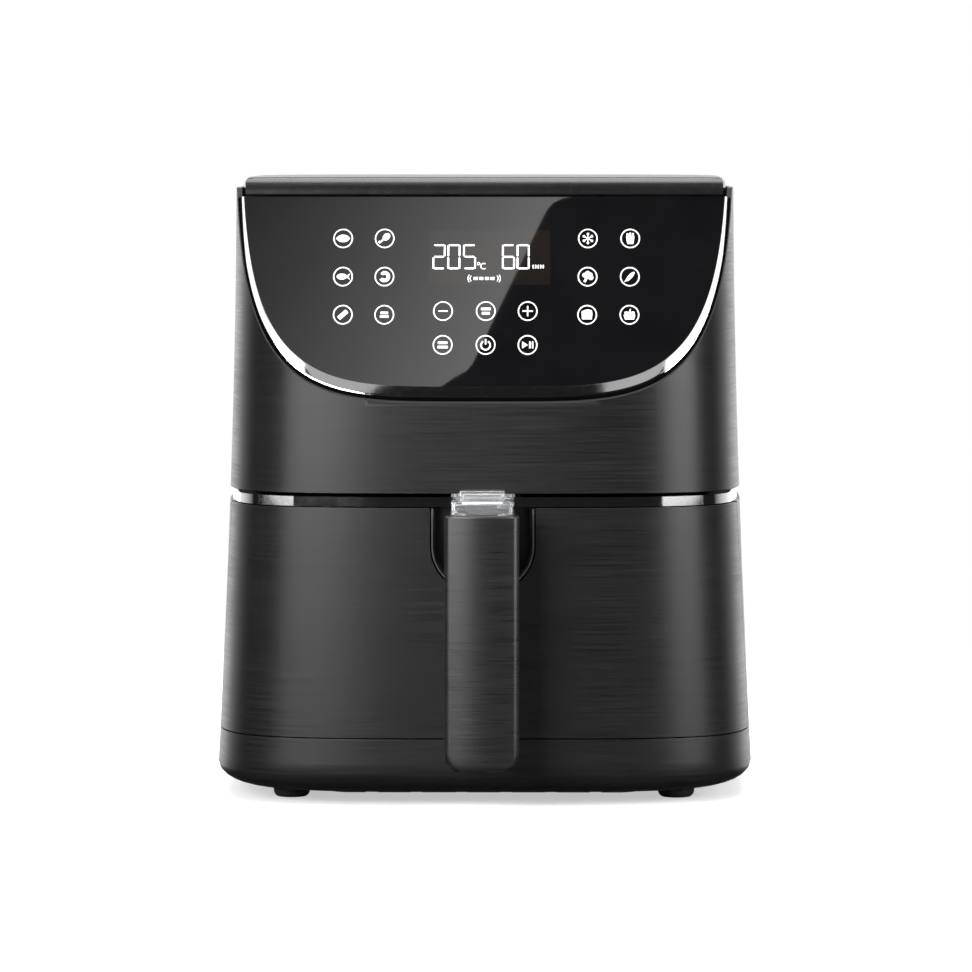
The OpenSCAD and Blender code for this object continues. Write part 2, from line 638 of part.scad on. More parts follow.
module motor_shaft() color([0.8, 0.8, 0.8]) placed() translate([0, pan_cy, shaft_foot])
    cylinder(r = shaft_r, h = shaft_top - shaft_foot);

// Centrifugal wheel: backplate, hub and curved blades
module hot_air_fan() color([0.7, 0.7, 0.71]) placed() translate([0, pan_cy, hot_fan_z]) difference() {
    union() {
        translate([0, 0, hot_fan_h - 1.2]) cylinder(r = hot_fan_r, h = 1.2, $fn = 96);
        cylinder(r = 9, h = hot_fan_h);
        for (i = [0:hot_fan_blades - 1]) rotate(360 / hot_fan_blades * i) linear_extrude(hot_fan_h - 0.6)
            fan_blade(hot_fan_r);
    }
    translate([0, 0, -1]) cylinder(r = shaft_r + run_gap, h = hot_fan_h + 2);
}

// Plan of one backward-curved blade: a slice of a thin ring
module fan_blade(r) intersection() {
    translate([r * 0.42, -r * 0.55]) difference() {
        circle(r * 0.62);
        circle(r * 0.62 - 1);
    }
    difference() {
        circle(r - 1);
        circle(r * 0.4);
    }
    square([r, r]);
}

module fan_nut() color([0.75, 0.72, 0.6]) placed() translate([0, pan_cy, hot_fan_z - nut_h]) difference() {
    cylinder(r = nut_r, h = nut_h - tiny, $fn = 6);
    translate([0, 0, -1]) cylinder(r = shaft_r + run_gap, h = nut_h + 2);
}
nut_r = 6;
nut_h = 4;

module cooling_fan() color([0.15, 0.15, 0.15]) placed() translate([0, pan_cy, cool_fan_z]) difference() {
    union() {
        cylinder(r = cool_hub_r, h = cool_fan_h);
        for (i = [0:cool_fan_blades - 1]) rotate(360 / cool_fan_blades * i)
            translate([cool_hub_r - 2, 0, cool_fan_h / 2]) rotate([32, 0, 0])
                translate([0, -cool_blade_w / 2, -cool_blade_t / 2])
                    cube([cool_fan_r - cool_hub_r + 1, cool_blade_w, cool_blade_t]);
    }
    translate([0, 0, -1]) cylinder(r = shaft_r + run_gap, h = cool_fan_h + 2);
}

// ---- Electronics ----
bracket_x = mouth_w / 2 + 9;
bracket_t = 1.2;
bracket_flange = 6;
bracket_edge = 4;
board_y = -30;
board_l = 84;
board_h = 64;
board_t = 1.6;
board_foot = chamber_roof + 28;
board_x = bracket_x - 5.6;
pillar_in = 10;
pillar_up = 6;
pillar_r = 3;
peg_r = 1.55;
relay_l = 28;
relay_w = 18;
relay_h = 16;
core_l = 26;
core_w = 30;
core_h = 22;
cap_r = 8;
cap_h = 18;
module pillar_places(x) for (y = [board_y + pillar_in, board_y + board_l - pillar_in],
    z = [pillar_up, board_h - pillar_up]) translate([x, y, board_foot + z]) rotate([0, 90, 0]) children();

module board_bracket() color([0.66, 0.66, 0.66]) placed() difference() {
    translate([bracket_x, board_y - bracket_edge, chamber_z]) {
        cube([bracket_t, board_l + 2 * bracket_edge, board_foot + board_h - bracket_edge - chamber_z]);
        cube([bracket_flange, board_l + 2 * bracket_edge, bracket_t]);
    }
    pillar_places(bracket_x - 1) cylinder(r = peg_r + 0.05, h = bracket_t + 2);
}

// Power board with its relay, transformer and capacitor, on four pillars
module power_board() color([0.12, 0.4, 0.2]) placed() {
    translate([board_x, board_y, board_foot]) cube([board_t, board_l, board_h]);
    pillar_places(board_x + board_t - 0.1) {
        cylinder(r = pillar_r, h = bracket_x - board_x - board_t + 0.1 - tiny);
        cylinder(r = peg_r, h = bracket_x - board_x);
    }
    translate([board_x - relay_h + 0.1, board_y + 6, board_foot + board_h - relay_w - 12])
        cube([relay_h, relay_l, relay_w]);
    translate([board_x - core_h + 0.1, board_y + board_l - core_l - 16, board_foot + 10])
        cube([core_h, core_l, core_w]);
    translate([board_x - cap_h + 0.1, board_y + 22, board_foot + 2 * cap_r]) rotate([0, 90, 0])
        cylinder(r = cap_r, h = cap_h);
}

// Microswitch that the pan pushes home
switch_z = 100;
module drawer_switch() color([0.2, 0.2, 0.22]) placed()
    translate([0, pan_cy + bay_d / 2 + sheet + tiny, switch_z]) {
    translate([-10, 0, -3.2]) cube([20, 10, 6.4]);
    rotate([90, 0, 0]) cylinder(r = 1.5, h = sheet + bay_gap + rim_lip - 0.4);
    for (x = [-7, -0.4, 6.2]) translate([x, 9.5, -1.6]) cube([0.8, 6, 3.2]);
}

// ---- Drawer ----
// Wrap-round front: a piece of the barrel's own surface with a flange along its top
module drawer_front() color([0.13, 0.13, 0.13]) placed() difference() {
    union() {
        intersection() {
            barrel_shell([for (z = [drawer_z + seam_gap, 70, 110, drawer_top]) [z, 0]],
                [for (z = [drawer_z + seam_gap, 70, drawer_top]) [z, front_t]]);
            drawer_window(seam_gap);
        }
        intersection() {
            barrel([[drawer_top - 2.8, front_t / 2], [drawer_top - 0.3, front_t / 2]]);
            difference() {
                translate([-far / 2, -far, 0]) cube([far, far - seam_top_y - 2, far]);
                translate([0, pan_cy, 0]) linear_extrude(far) rounded(pan_w + 6, pan_d + 6, pan_r + 3);
            }
        }
        screw_places() cylinder(r = 5, h = -front_y - pan_d / 2 + pan_cy - front_t);
    }
    screw_places() cylinder(r = 1.9, h = 12);
    deep(-far, pan_cy - pan_d / 2 - 0.2) pocket_outline(0);
}

screw_x = pan_w / 2 - pan_r - 10.5;
screw_low = 64;
screw_high = 128;

// Places of the screws through the pan's front wall, pointing forwards
module screw_places() for (x = [-screw_x, screw_x], z = [screw_low, screw_high])
    translate([x, pan_cy - pan_d / 2 - tiny, z]) rotate([90, 0, 0]) children();

// Front view of the pocket: straight sides over a half ellipse
module pocket_outline(inset, top = far) {
    w = pocket_half_w - inset;
    h = pocket_drop - inset;
    polygon(concat([for (i = [0:pocket_steps]) let (a = 180 + 180 * i / pocket_steps)
        [w * cos(a), pocket_z + pocket_drop + h * sin(a)]], [[w, top], [-w, top]]));
}

// Dished liner of the pocket, seated in the drawer front
module handle_pocket() color([0.07, 0.07, 0.07]) placed() difference() {
    intersection() {
        deep(front_y - 6, pocket_back_y + 1.8) pocket_outline(0.25);
        barrel([for (z = [pocket_z - 8, 125, drawer_top - 0.35]) [z, 0.6]]);
    }
    hull() {
        deep(front_y - 12, front_y - 11) pocket_outline(1.6, drawer_top + 30);
        deep(pocket_back_y - 9, pocket_back_y - 8) pocket_outline(3.2, drawer_top + 30);
        deep(pocket_back_y - 1, pocket_back_y) pocket_outline(6.2, drawer_top + 30);
    }
    deep(front_y - 12, pocket_back_y) 
        translate([-slot_half_w - 3.4, pocket_z + 1.6]) square([2 * slot_half_w + 6.8, far]);
    deep(front_y - 12, 0) translate([-strap_w / 2 - 0.4, strap_z - 0.4]) square([strap_w + 0.8, far]);
}

// Inner frame that closes the space between the wings of the front and the pan
module drawer_frame() color([0.1, 0.1, 0.1]) placed() difference() {
    intersection() {
        barrel([for (z = [drawer_z + seam_gap + 0.4, 80, pan_rim_z - sheet - 0.3]) [z, front_t + 0.2]]);
        translate([-far / 2, -seam_top_y - 3.4, 0]) cube([far, 2.2, far]);
    }
    translate([0, 0, pan_z + 6]) translate([-pan_w / 2 - 0.15, -far, 0]) cube([pan_w + 0.3, 2 * far, far]);
    translate([-pan_w / 2 + 6, -far, pan_z - 0.15]) cube([pan_w - 12, 2 * far, far]);
    hull() for (x = [-1, 1]) translate([x * (pan_w / 2 - 6), 0, pan_z + 6]) rotate([90, 0, 0])
        cylinder(r = 6.15, h = far, center = true, $fn = 32);
}

// Pressed pan with a rolled bottom edge and a flat rim
module pan() color([0.1, 0.1, 0.1]) placed() difference() {
    tub(pan_w, pan_d, pan_r, pan_z, pan_rim_z, rim_lip);
    screw_places() translate([0, 0, -4]) cylinder(r = 1.9, h = 8);
}

// Sheet tub: w, d and r are its outer plan, and lip is the width of its rim
module tub(w, d, r, z0, z1, lip) ring_solid(concat(
    [for (s = [[6, 0], [3, 0.8], [1, 2.9], [0, 6]]) tub_ring(w - 2 * s[0], d - 2 * s[0], r - s[0],
        z0 + s[1])],
    [for (s = [[0, -sheet], [-lip, -sheet], [-lip, 0], [sheet, 0]])
        tub_ring(w - 2 * s[0], d - 2 * s[0], r - s[0], z1 + s[1])],
    [for (s = [[0, 6], [1, 2.9 + 0.3], [3, 0.8 + 0.2], [6, 0]])
        tub_ring(w - 2 * (s[0] + sheet), d - 2 * (s[0] + sheet), r - s[0] - sheet, z0 + sheet + s[1])]));

// Basket: walls that hang from the pan's rim, and a perforated floor
module basket() color([0.12, 0.12, 0.12]) placed() {
    w = pan_w - 2 * (sheet + basket_gap);
    d = pan_d - 2 * (sheet + basket_gap);
    r = pan_r - sheet - basket_gap;
    edge = 11;
    difference() {
        tub(w, d, r, basket_z, pan_rim_z + sheet + tiny, basket_gap + sheet + 0.6);
        translate([0, pan_cy, basket_z - 1]) linear_extrude(sheet + 2)
            rounded(w - 2 * edge, d - 2 * edge, r - edge);
    }
    translate([0, pan_cy, basket_z + 0.15]) linear_extrude(sheet - 0.3) difference() {
        rounded(w - 2 * edge + 2, d - 2 * edge + 2, r - edge + 1);
        perforations(w / 2 - edge - 4, d / 2 - edge - 4, r - edge - 4);
    }
}

// Staggered rows of round holes inside a rounded rectangle
module perforations(hw, hd, r) {
    rows = floor(hd / (perforation_pitch * sqrt(3) / 2));
    columns = floor(hw / perforation_pitch);
    for (j = [-rows:rows], i = [-columns:columns]) {
        x = (i + (abs(j) % 2) / 2) * perforation_pitch;
        y = j * perforation_pitch * sqrt(3) / 2;
        cx = max(0, abs(x) - hw + r);
        cy = max(0, abs(y) - hd + r);
        if (abs(x) < hw - perforation_d / 2 && abs(y) < hd - perforation_d / 2
            && norm([cx, cy]) < r - perforation_d / 2) translate([x, y]) circle(d = perforation_d, $fn = 24);
    }
}

// Screws that hold the drawer front to the pan, heads inside the pan
module drawer_screws() color([0.6, 0.6, 0.6]) placed() screw_places() {
    translate([0, 0, -sheet]) cylinder(r = 1.8, h = sheet + 10);
    translate([0, 0, -sheet - 1]) cylinder(r = 3.6, h = 1 - tiny);
}

// Ledge on the back of the pocket that the latch hooks under
catch_z = hook_z + 3.3;
module latch_catch() color([0.65, 0.65, 0.65]) placed()
    translate([-slot_half_w + 0.6, pocket_back_y - 2.5, catch_z])
        cube([2 * slot_half_w - 1.2, 2.5 - tiny, 8]);

// ---- Handle, which belongs to the basket ----
function handle_face(z) = -handle_reach
    + handle_bow * pow((z - handle_z - (handle_top - handle_z) * 0.55) / 60, 2);
handle_end_r = 9.5;
function handle_half(z) = let (t = max(0, handle_z + handle_end_r - z))
    handle_w / 2 - handle_end_r + sqrt(max(0, pow(handle_end_r, 2) - t * t));
// Section of the handle from depth a to depth b behind its face: a crown of radius crown_r that runs
// into front corners of radius r
function handle_ring(z, inset, a, b, r, crown_r = handle_crown_r) = let (w = handle_half(z) - inset,
    y = handle_face(z), big = crown_r - a, phi = asin((w - r) / (big - r)),
    centre = crown_r - sqrt(pow(big - r, 2) - pow(w - r, 2)), turn = (90 - phi) / 5)
    concat([for (i = [0:5]) [-(w - r) - r * cos(turn * i), y + centre - r * sin(turn * i), z]],
        [for (k = [-4:4]) [big * sin(phi * k / 5), y + crown_r - big * cos(phi * k / 5), z]],
        [for (i = [5:-1:0]) [w - r + r * cos(turn * i), y + centre - r * sin(turn * i), z]],
        [[w, y + b, z], [-w, y + b, z]]);
handle_levels = [0, 1, 2.6, 5, 9.5, 30, 50, 71.5, 95, 113];
function handle_zs(z0, z1) = concat([for (l = handle_levels) z0 + l * (z1 - z0) / 130], [z1]);
cover_depth = 10;

module handle_cover() color([0.14, 0.14, 0.14]) placed() difference() {
    union() {
        difference() {
            ring_solid([for (z = handle_zs(handle_z, handle_top - 0.4)) handle_ring(z, 0, 0, cover_depth,
                4)]);
            ring_solid([for (z = handle_zs(handle_z + 2.2, handle_top + 1)) handle_ring(z, 2, 2,
                cover_depth + 1, 2.4)]);
        }
        handle_screw_places() translate([0, 0, 1.2]) cylinder(r = 3.2, h = 8.4);
    }
    handle_screw_places() translate([0, 0, 3.6]) cylinder(r = 1.55, h = 10);
}

// Centres of the two screws behind the grip, pointing backwards from its face
module handle_screw_places() for (z = [48, 104]) translate([0, handle_face(z), z]) rotate([-90, 0, 0])
    children();

// Inner half of the handle with the head and its neck into the pocket
module handle_core() color([0.05, 0.05, 0.05]) placed() difference() {
    union() {
        ring_solid([for (z = handle_zs(handle_z + 2.4, handle_top)) handle_ring(z, 2.15, 2.15,
            cover_depth + 0.4, 2)]);
        ring_solid([for (z = handle_zs(handle_z + 0.6, handle_top)) handle_ring(z, 0.5, cover_depth + 0.1,
            grip_t, 0.4, far * 5)]);
        translate([-head_half, handle_face(handle_top) + cover_depth, head_z])
            cube([2 * head_half, front_y - 4 - handle_face(handle_top) - cover_depth, head_h]);
        translate([-head_half, front_y - 5, head_z - 2])
            cube([2 * head_half, neck_y - front_y + 5, head_h + 2]);
        translate([-slot_half_w - 1.6, front_y - 5, hook_z - 6])
            cube([2 * slot_half_w + 3.2, neck_y - front_y + 5, head_h]);
        for (x = [-1, 1]) translate([x * (cover_w / 2 - 2.6) - 0.5, cover_front_y + 2, handle_top - 0.1])
            cube([1, cover_l - 3, 1.6]);
    }
    // Cavity for the spring, the latch and the button's flange
    across(2 * slot_half_w) polygon([[pin_y - 16, handle_top - top_plate_t], [pin_y - 16, head_z + 5],
        [strap_front_y, head_z + 5], [strap_front_y, hook_z - 8], [neck_y + 1, hook_z - 8],
        [neck_y + 1, handle_top - top_plate_t]]);
    translate([-button_half - 0.3, button_y - 0.3, handle_top - 5])
        cube([2 * button_half + 0.6, button_l + 0.6, 10]);
    translate([-button_half - 2, button_y - 1.8, handle_top - top_plate_t - button_travel - 2.2])
        cube([2 * button_half + 4, button_l + 3.1, button_travel + 2.2]);
    translate([0, pin_y, pin_z]) rotate([0, 90, 0]) cylinder(r = pin_r + run_gap, h = far, center = true);
    strap_ears(0.1);
    handle_screw_places() {
        cylinder(r = 3.4, h = cover_depth);
        cylinder(r = 1.6, h = grip_t + 5);
        translate([0, 0, grip_t - 2.5]) cylinder(r = 3.6, h = 8);
    }
}
head_half = 16.4;
button_half = 8;
cover_front_y = cover_rear_y - cover_l;

// Two flat ears of the strap that the handle's head is moulded round
module strap_ears(gap) for (x = [-1, 1])
    translate([x * ear_x - ear_w / 2 - gap, strap_front_y - gap, handle_top - ear_h - gap])
        cube([ear_w + 2 * gap, strap_t + 2 * gap, strap_z + strap_t - handle_top + ear_h + 2 * gap]);

// Steel strap from the basket's front wall over both rims to the handle's head
module basket_strap() color([0.7, 0.7, 0.7]) placed() {
    inside_y = pan_cy - pan_d / 2 + 2 * sheet + basket_gap + tiny;
    translate([-strap_w / 2, strap_front_y, strap_z])
        cube([strap_w, inside_y + strap_t - strap_front_y, strap_t]);
    translate([-strap_w / 2, inside_y, strap_z - strap_drop]) cube([strap_w, strap_t, strap_drop + 0.1]);
    strap_ears(0);
}

module handle_screws() color([0.6, 0.6, 0.6]) placed() handle_screw_places() {
    translate([0, 0, 4.4]) cylinder(r = 1.5, h = grip_t - 6);
    translate([0, 0, grip_t - 2.5 + tiny]) cylinder(r = 3, h = 2);
}

module latch_pin() color([0.8, 0.8, 0.8]) placed() translate([0, pin_y, pin_z]) rotate([0, 90, 0])
    cylinder(r = pin_r, h = 2 * head_half - 2, center = true);

// Bell-crank latch: pressed behind its pin, it draws its hook forwards from under the catch
module release_latch() color([0.6, 0.6, 0.62]) placed() difference() {
    across(2 * slot_half_w - 2) {
        translate([pin_y, pin_z]) circle(3.6);
        translate([pin_y, pin_z - 2.2]) square([neck_y - 4.4 - pin_y, 3.6]);
        translate([neck_y - 4.4, hook_z]) square([3.4, pin_z + 1.4 - hook_z]);
        polygon([[neck_y - 2, hook_z], [pocket_back_y - 1.2, hook_z + 1.6], [pocket_back_y - 1.2, hook_z + 3],
            [neck_y - 2, hook_z + 3]]);
    }
    translate([0, pin_y, pin_z]) rotate([0, 90, 0]) cylinder(r = pin_r + run_gap, h = far, center = true);
}

// Push button with a retaining flange and the rib that presses the latch
module release_button() color([0.08, 0.08, 0.08]) placed() {
    plate_z = handle_top - top_plate_t - 0.1;
    difference() {
        translate([-button_half, button_y, plate_z - 0.1])
            cube([2 * button_half, button_l, button_top - plate_z + 0.1]);
        across(far) translate([button_y + button_l / 2, button_top + 15]) circle(15.6, $fn = 96);
    }
    translate([-button_half - 1.4, button_y - 1.2, plate_z - 1.7])
        cube([2 * button_half + 2.8, button_l + 2, 1.7]);
    translate([-5, pin_y + press_arm - 1, pin_z + 1.75]) cube([10, 2, plate_z - 1.6 - pin_z - 1.75]);
}

// Coil spring under the front of the button
spring_r = 3.6;
spring_wire = 0.8;
spring_turns = 4;
spring_y = pin_y - 8.6;
spring_z = head_z + 5;
spring_h = handle_top - top_plate_t - 1.8 - spring_z;
module button_spring() color([0.75, 0.75, 0.75]) placed() translate([0, spring_y, spring_z]) {
    steps = 12 * spring_turns;
    sides = 6;
    r = spring_wire / 2;
    points = [for (i = [0:steps]) let (a = 360 * spring_turns * i / steps,
        z = r + 0.05 + (spring_h - 2 * r - 0.1) * i / steps)
        for (k = [0:sides - 1]) let (b = 360 * k / sides)
            [(spring_r + r * cos(b)) * cos(a), (spring_r + r * cos(b)) * sin(a), z + r * sin(b)]];
    polyhedron(points = points, faces = concat([[for (k = [0:sides - 1]) k]],
        [for (i = [0:steps - 1]) for (k = [0:sides - 1]) let (j = (k + 1) % sides)
            [i * sides + k, (i + 1) * sides + k, (i + 1) * sides + j, i * sides + j]],
        [[for (k = [sides - 1:-1:0]) steps * sides + k]]));
}

// Clear stepped cover that slides forwards off the button
module button_cover() color([0.8, 0.85, 0.9, 0.5]) placed() {
    z0 = handle_top + 0.2;
    step_w = cover_w - 8.4;
    step_h = 5.1;
    t = 1.4;
    difference() {
        union() {
            translate([-cover_w / 2, cover_front_y, z0]) cube([cover_w, cover_l, cover_h]);
            translate([-step_w / 2, cover_front_y + 5, z0 + cover_h - 0.1])
                cube([step_w, cover_l - 9, step_h + 0.1]);
        }
        translate([-cover_w / 2 + t, cover_front_y + t, z0 - 1])
            cube([cover_w - 2 * t, cover_l, cover_h + 1 - t]);
        translate([-step_w / 2 + t, cover_front_y + 5 + t, z0 - 1])
            cube([step_w - 2 * t, cover_l - 9 - 2 * t, cover_h + step_h + 1 - t]);
    }
}

top_cover();
control_panel();
panel_trim();
panel_tray();
touch_board();
display_module();
upper_housing();
chrome_band();
lower_housing();
base_plate();
rubber_feet();
rear_outlet_grille();
cord_gland();
front_frame();
bay_floor();
bay_liner();
chamber_deck();
hot_air_chamber();
exhaust_duct();
heating_element();
element_clips();
temperature_sensor();
thermal_cutout();
heat_shield();
motor_bracket();
motor();
motor_shaft();
hot_air_fan();
fan_nut();
cooling_fan();
board_bracket();
power_board();
drawer_switch();
drawer_front();
drawer_frame();
handle_pocket();
pan();
drawer_screws();
latch_catch();
basket();
basket_strap();
handle_core();
handle_cover();
handle_screws();
latch_pin();
release_latch();
release_button();
button_spring();
button_cover();
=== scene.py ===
import json
import math
import bpy
from mathutils import Matrix, Vector


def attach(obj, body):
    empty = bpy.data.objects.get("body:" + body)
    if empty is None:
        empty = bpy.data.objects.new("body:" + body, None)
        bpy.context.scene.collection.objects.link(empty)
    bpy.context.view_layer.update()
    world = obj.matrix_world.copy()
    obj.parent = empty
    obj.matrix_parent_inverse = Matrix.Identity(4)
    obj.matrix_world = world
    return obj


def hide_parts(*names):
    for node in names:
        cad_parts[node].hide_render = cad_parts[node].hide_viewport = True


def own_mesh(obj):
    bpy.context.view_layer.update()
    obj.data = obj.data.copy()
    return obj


# Counter-top air fryer. Lengths in the dictionaries are in millimetres, measured from the barrel's
# axis and from the table. +Z is up and -Y faces the user.
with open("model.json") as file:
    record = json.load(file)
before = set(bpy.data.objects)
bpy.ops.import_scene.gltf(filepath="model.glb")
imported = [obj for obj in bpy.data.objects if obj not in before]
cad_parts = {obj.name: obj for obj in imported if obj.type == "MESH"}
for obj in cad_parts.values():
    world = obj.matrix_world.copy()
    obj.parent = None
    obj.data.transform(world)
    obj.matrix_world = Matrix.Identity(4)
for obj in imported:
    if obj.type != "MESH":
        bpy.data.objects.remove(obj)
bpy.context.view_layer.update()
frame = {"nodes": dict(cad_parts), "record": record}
mm = 0.001
axisShift = 24.5  # the barrel's axis lies this far behind the frame's origin
far = 400  # past every side of the fryer


# small helpers
def clearSelection():
    if bpy.context.object and bpy.context.object.mode != "OBJECT":
        bpy.ops.object.mode_set(mode="OBJECT")
    bpy.ops.object.select_all(action="DESELECT")


def pickOnly(piece):
    clearSelection()
    piece.select_set(True)
    bpy.context.view_layer.objects.active = piece


def bakePlace(piece, name):
    pickOnly(piece)
    piece.name = name
    bpy.ops.object.transform_apply(location=True, rotation=True, scale=True)
    return piece


def pickFaces(piece, test):
    # leaves edit mode on, with only the faces that pass the test selected
    pickOnly(piece)
    bpy.ops.object.mode_set(mode="EDIT")
    bpy.ops.mesh.select_mode(type="FACE")
    bpy.ops.mesh.select_all(action="DESELECT")
    bpy.ops.object.mode_set(mode="OBJECT")
    for face in piece.data.polygons:
        face.select = bool(test(face))
    bpy.ops.object.mode_set(mode="EDIT")


def applyModifier(piece, kind, **settings):
    pickOnly(piece)
    modifier = piece.modifiers.new(kind.lower(), kind)
    for key, value in settings.items():
        setattr(modifier, key, value)
    bpy.ops.object.modifier_apply(modifier=modifier.name)


def carve(piece, tool, how="DIFFERENCE"):
    applyModifier(piece, "BOOLEAN", operation=how, object=tool, solver="EXACT")
    bpy.data.objects.remove(tool, do_unlink=True)


def soften(piece, width, segments=2, angle=32, smooth=32, even=False):
    # rounds every sharp edge a little, then shades the rest smooth; even keeps large faces true beside edges
    pickOnly(piece)
    bpy.ops.object.mode_set(mode="EDIT")
    bpy.ops.mesh.select_all(action="SELECT")
    bpy.ops.mesh.remove_doubles(threshold=0.00002)
    bpy.ops.mesh.dissolve_degenerate(threshold=0.00001)
    bpy.ops.object.mode_set(mode="OBJECT")
    if width:
        applyModifier(piece, "BEVEL", width=width * mm, segments=segments, limit_method="ANGLE",
                      angle_limit=math.radians(angle), use_clamp_overlap=True, harden_normals=False)
    pickOnly(piece)
    bpy.ops.object.shade_smooth_by_angle(angle=math.radians(smooth))
    if even:
        applyModifier(piece, "WEIGHTED_NORMAL", keep_sharp=True)


def outlineSolid(name, rings):
    # closed solid through rings of equal point count, extruded ring by ring from one circle
    count = len(rings[0])
    clearSelection()
    bpy.ops.mesh.primitive_circle_add(vertices=count, radius=1, fill_type="NGON")
    piece = bpy.context.object
    piece.name = name
    bpy.ops.object.mode_set(mode="EDIT")
    bpy.ops.mesh.select_all(action="SELECT")
    for ring in rings[1:]:
        bpy.ops.mesh.extrude_region_move(TRANSFORM_OT_translate={"value": (0, 0, 1)})
    bpy.ops.object.mode_set(mode="OBJECT")
    step = 2 * math.pi / count
    for vertex in piece.data.vertices:
        turn = (math.pi / 2 - math.atan2(vertex.co.y, vertex.co.x)) % (2 * math.pi)
        x, y, z = rings[round(vertex.co.z)][round(turn / step) % count]
        vertex.co = (x * mm, (y + axisShift) * mm, z * mm)
    bpy.ops.object.mode_set(mode="EDIT")
    bpy.ops.mesh.select_all(action="SELECT")
    bpy.ops.mesh.normals_make_consistent(inside=False)
    bpy.ops.object.mode_set(mode="OBJECT")
    return piece


def sidePrism(name, points):
    # a side-view outline of [y, z] carried across the width
    return outlineSolid(name, [[(x, y, z) for y, z in points] for x in (-far, far)])


def frontPrism(name, points, yFront, yBack):
    # a front-view outline of [x, z] carried from front to back
    return outlineSolid(name, [[(x, y, z) for x, z in points] for y in (yFront, yBack)])


def planPrism(name, points, zLow, zHigh):
    return outlineSolid(name, [[(x, y, z) for x, y in points] for z in (zLow, zHigh)])


def roundedOutline(width, depth, radius, centreY=0, steps=12):
    points = []
    for quarter, (sx, sy) in enumerate(((1, 1), (-1, 1), (-1, -1), (1, -1))):
        for i in range(steps + 1):
            a = math.pi / 2 * (quarter + i / steps)
            points.append((sx * (width / 2 - radius) + radius * math.cos(a),
                           sy * (depth / 2 - radius) + radius * math.sin(a) + centreY))
    return points


def fit(piece, body, slotName, material, *nodes):
    piece.data.materials.clear()
    piece.data.materials.append(material)
    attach(piece, body)
    if nodes:
        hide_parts(*nodes)
    return piece


def castFrom(node, name, width=0, segments=2, angle=32, smooth=32):
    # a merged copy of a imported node, with its flats made whole and its edges rounded
    source = frame["nodes"][node]
    copy = source.copy()
    copy.data = source.data.copy()
    copy.animation_data_clear()
    copy.parent = None
    copy.matrix_world = Matrix.Identity(4)
    bpy.context.scene.collection.objects.link(copy)
    copy.name = name
    copy.data.name = name
    pickOnly(copy)
    bpy.ops.mesh.customdata_custom_splitnormals_clear()
    bpy.ops.object.mode_set(mode="EDIT")
    bpy.ops.mesh.select_all(action="SELECT")
    bpy.ops.mesh.remove_doubles(threshold=0.00001)
    bpy.ops.mesh.dissolve_limited(angle_limit=math.radians(0.3))
    bpy.ops.object.mode_set(mode="OBJECT")
    soften(copy, width, segments, angle, smooth)
    return copy


# finishes
def newFinish(name, **sockets):
    material = bpy.data.materials.new(name)
    material.use_nodes = True
    shader = material.node_tree.nodes["Principled BSDF"]
    for key, value in sockets.items():
        shader.inputs[key.replace("_", " ")].default_value = value
    return material, material.node_tree.nodes, material.node_tree.links, shader


def grain(nodes, links, stretch, detail=4.0, place=(0, 0, 0)):
    # noise whose grains are 1/stretch metres long on each axis
    coords = nodes.new("ShaderNodeTexCoord")
    mapping = nodes.new("ShaderNodeMapping")
    mapping.inputs["Scale"].default_value = stretch
    mapping.inputs["Location"].default_value = place
    noise = nodes.new("ShaderNodeTexNoise")
    noise.inputs["Scale"].default_value = 1.0
    noise.inputs["Detail"].default_value = detail
    noise.inputs["Roughness"].default_value = 0.6
    links.new(coords.outputs["Object"], mapping.inputs["Vector"])
    links.new(mapping.outputs["Vector"], noise.inputs["Vector"])
    return noise.outputs["Fac"]


def spread(nodes, links, source, low, high, fromLow=0.3, fromHigh=0.7):
    limits = nodes.new("ShaderNodeMapRange")
    limits.inputs["From Min"].default_value = fromLow
    limits.inputs["From Max"].default_value = fromHigh
    limits.inputs["To Min"].default_value = low
    limits.inputs["To Max"].default_value = high
    links.new(source, limits.inputs["Value"])
    return limits.outputs["Result"]


def tint(nodes, links, source, dark, light):
    ramp = nodes.new("ShaderNodeValToRGB")
    ramp.color_ramp.elements[0].position = 0.3
    ramp.color_ramp.elements[0].color = (*dark, 1)
    ramp.color_ramp.elements[1].position = 0.7
    ramp.color_ramp.elements[1].color = (*light, 1)
    links.new(source, ramp.inputs["Fac"])
    return ramp.outputs["Color"]


def addBump(nodes, links, shader, source, strength, depth):
    bump = nodes.new("ShaderNodeBump")
    bump.inputs["Strength"].default_value = strength
    bump.inputs["Distance"].default_value = depth
    links.new(source, bump.inputs["Height"])
    links.new(bump.outputs["Normal"], shader.inputs["Normal"])


def brushedFinish(name, dark, light, rough, streak, strength, depth, **sockets):
    # fine streaks that run level round the piece
    material, nodes, links, shader = newFinish(name, **sockets)
    fine = grain(nodes, links, streak, 3.0)
    cloud = grain(nodes, links, (9, 9, 30), 2.0, (3, 1, 2))
    links.new(tint(nodes, links, fine, dark, light), shader.inputs["Base Color"])
    wear = nodes.new("ShaderNodeMath")
    wear.operation = "ADD"
    links.new(spread(nodes, links, fine, rough[0], rough[1]), wear.inputs[0])
    links.new(spread(nodes, links, cloud, -0.02, 0.02), wear.inputs[1])
    links.new(wear.outputs["Value"], shader.inputs["Roughness"])
    addBump(nodes, links, shader, fine, strength, depth)
    return material


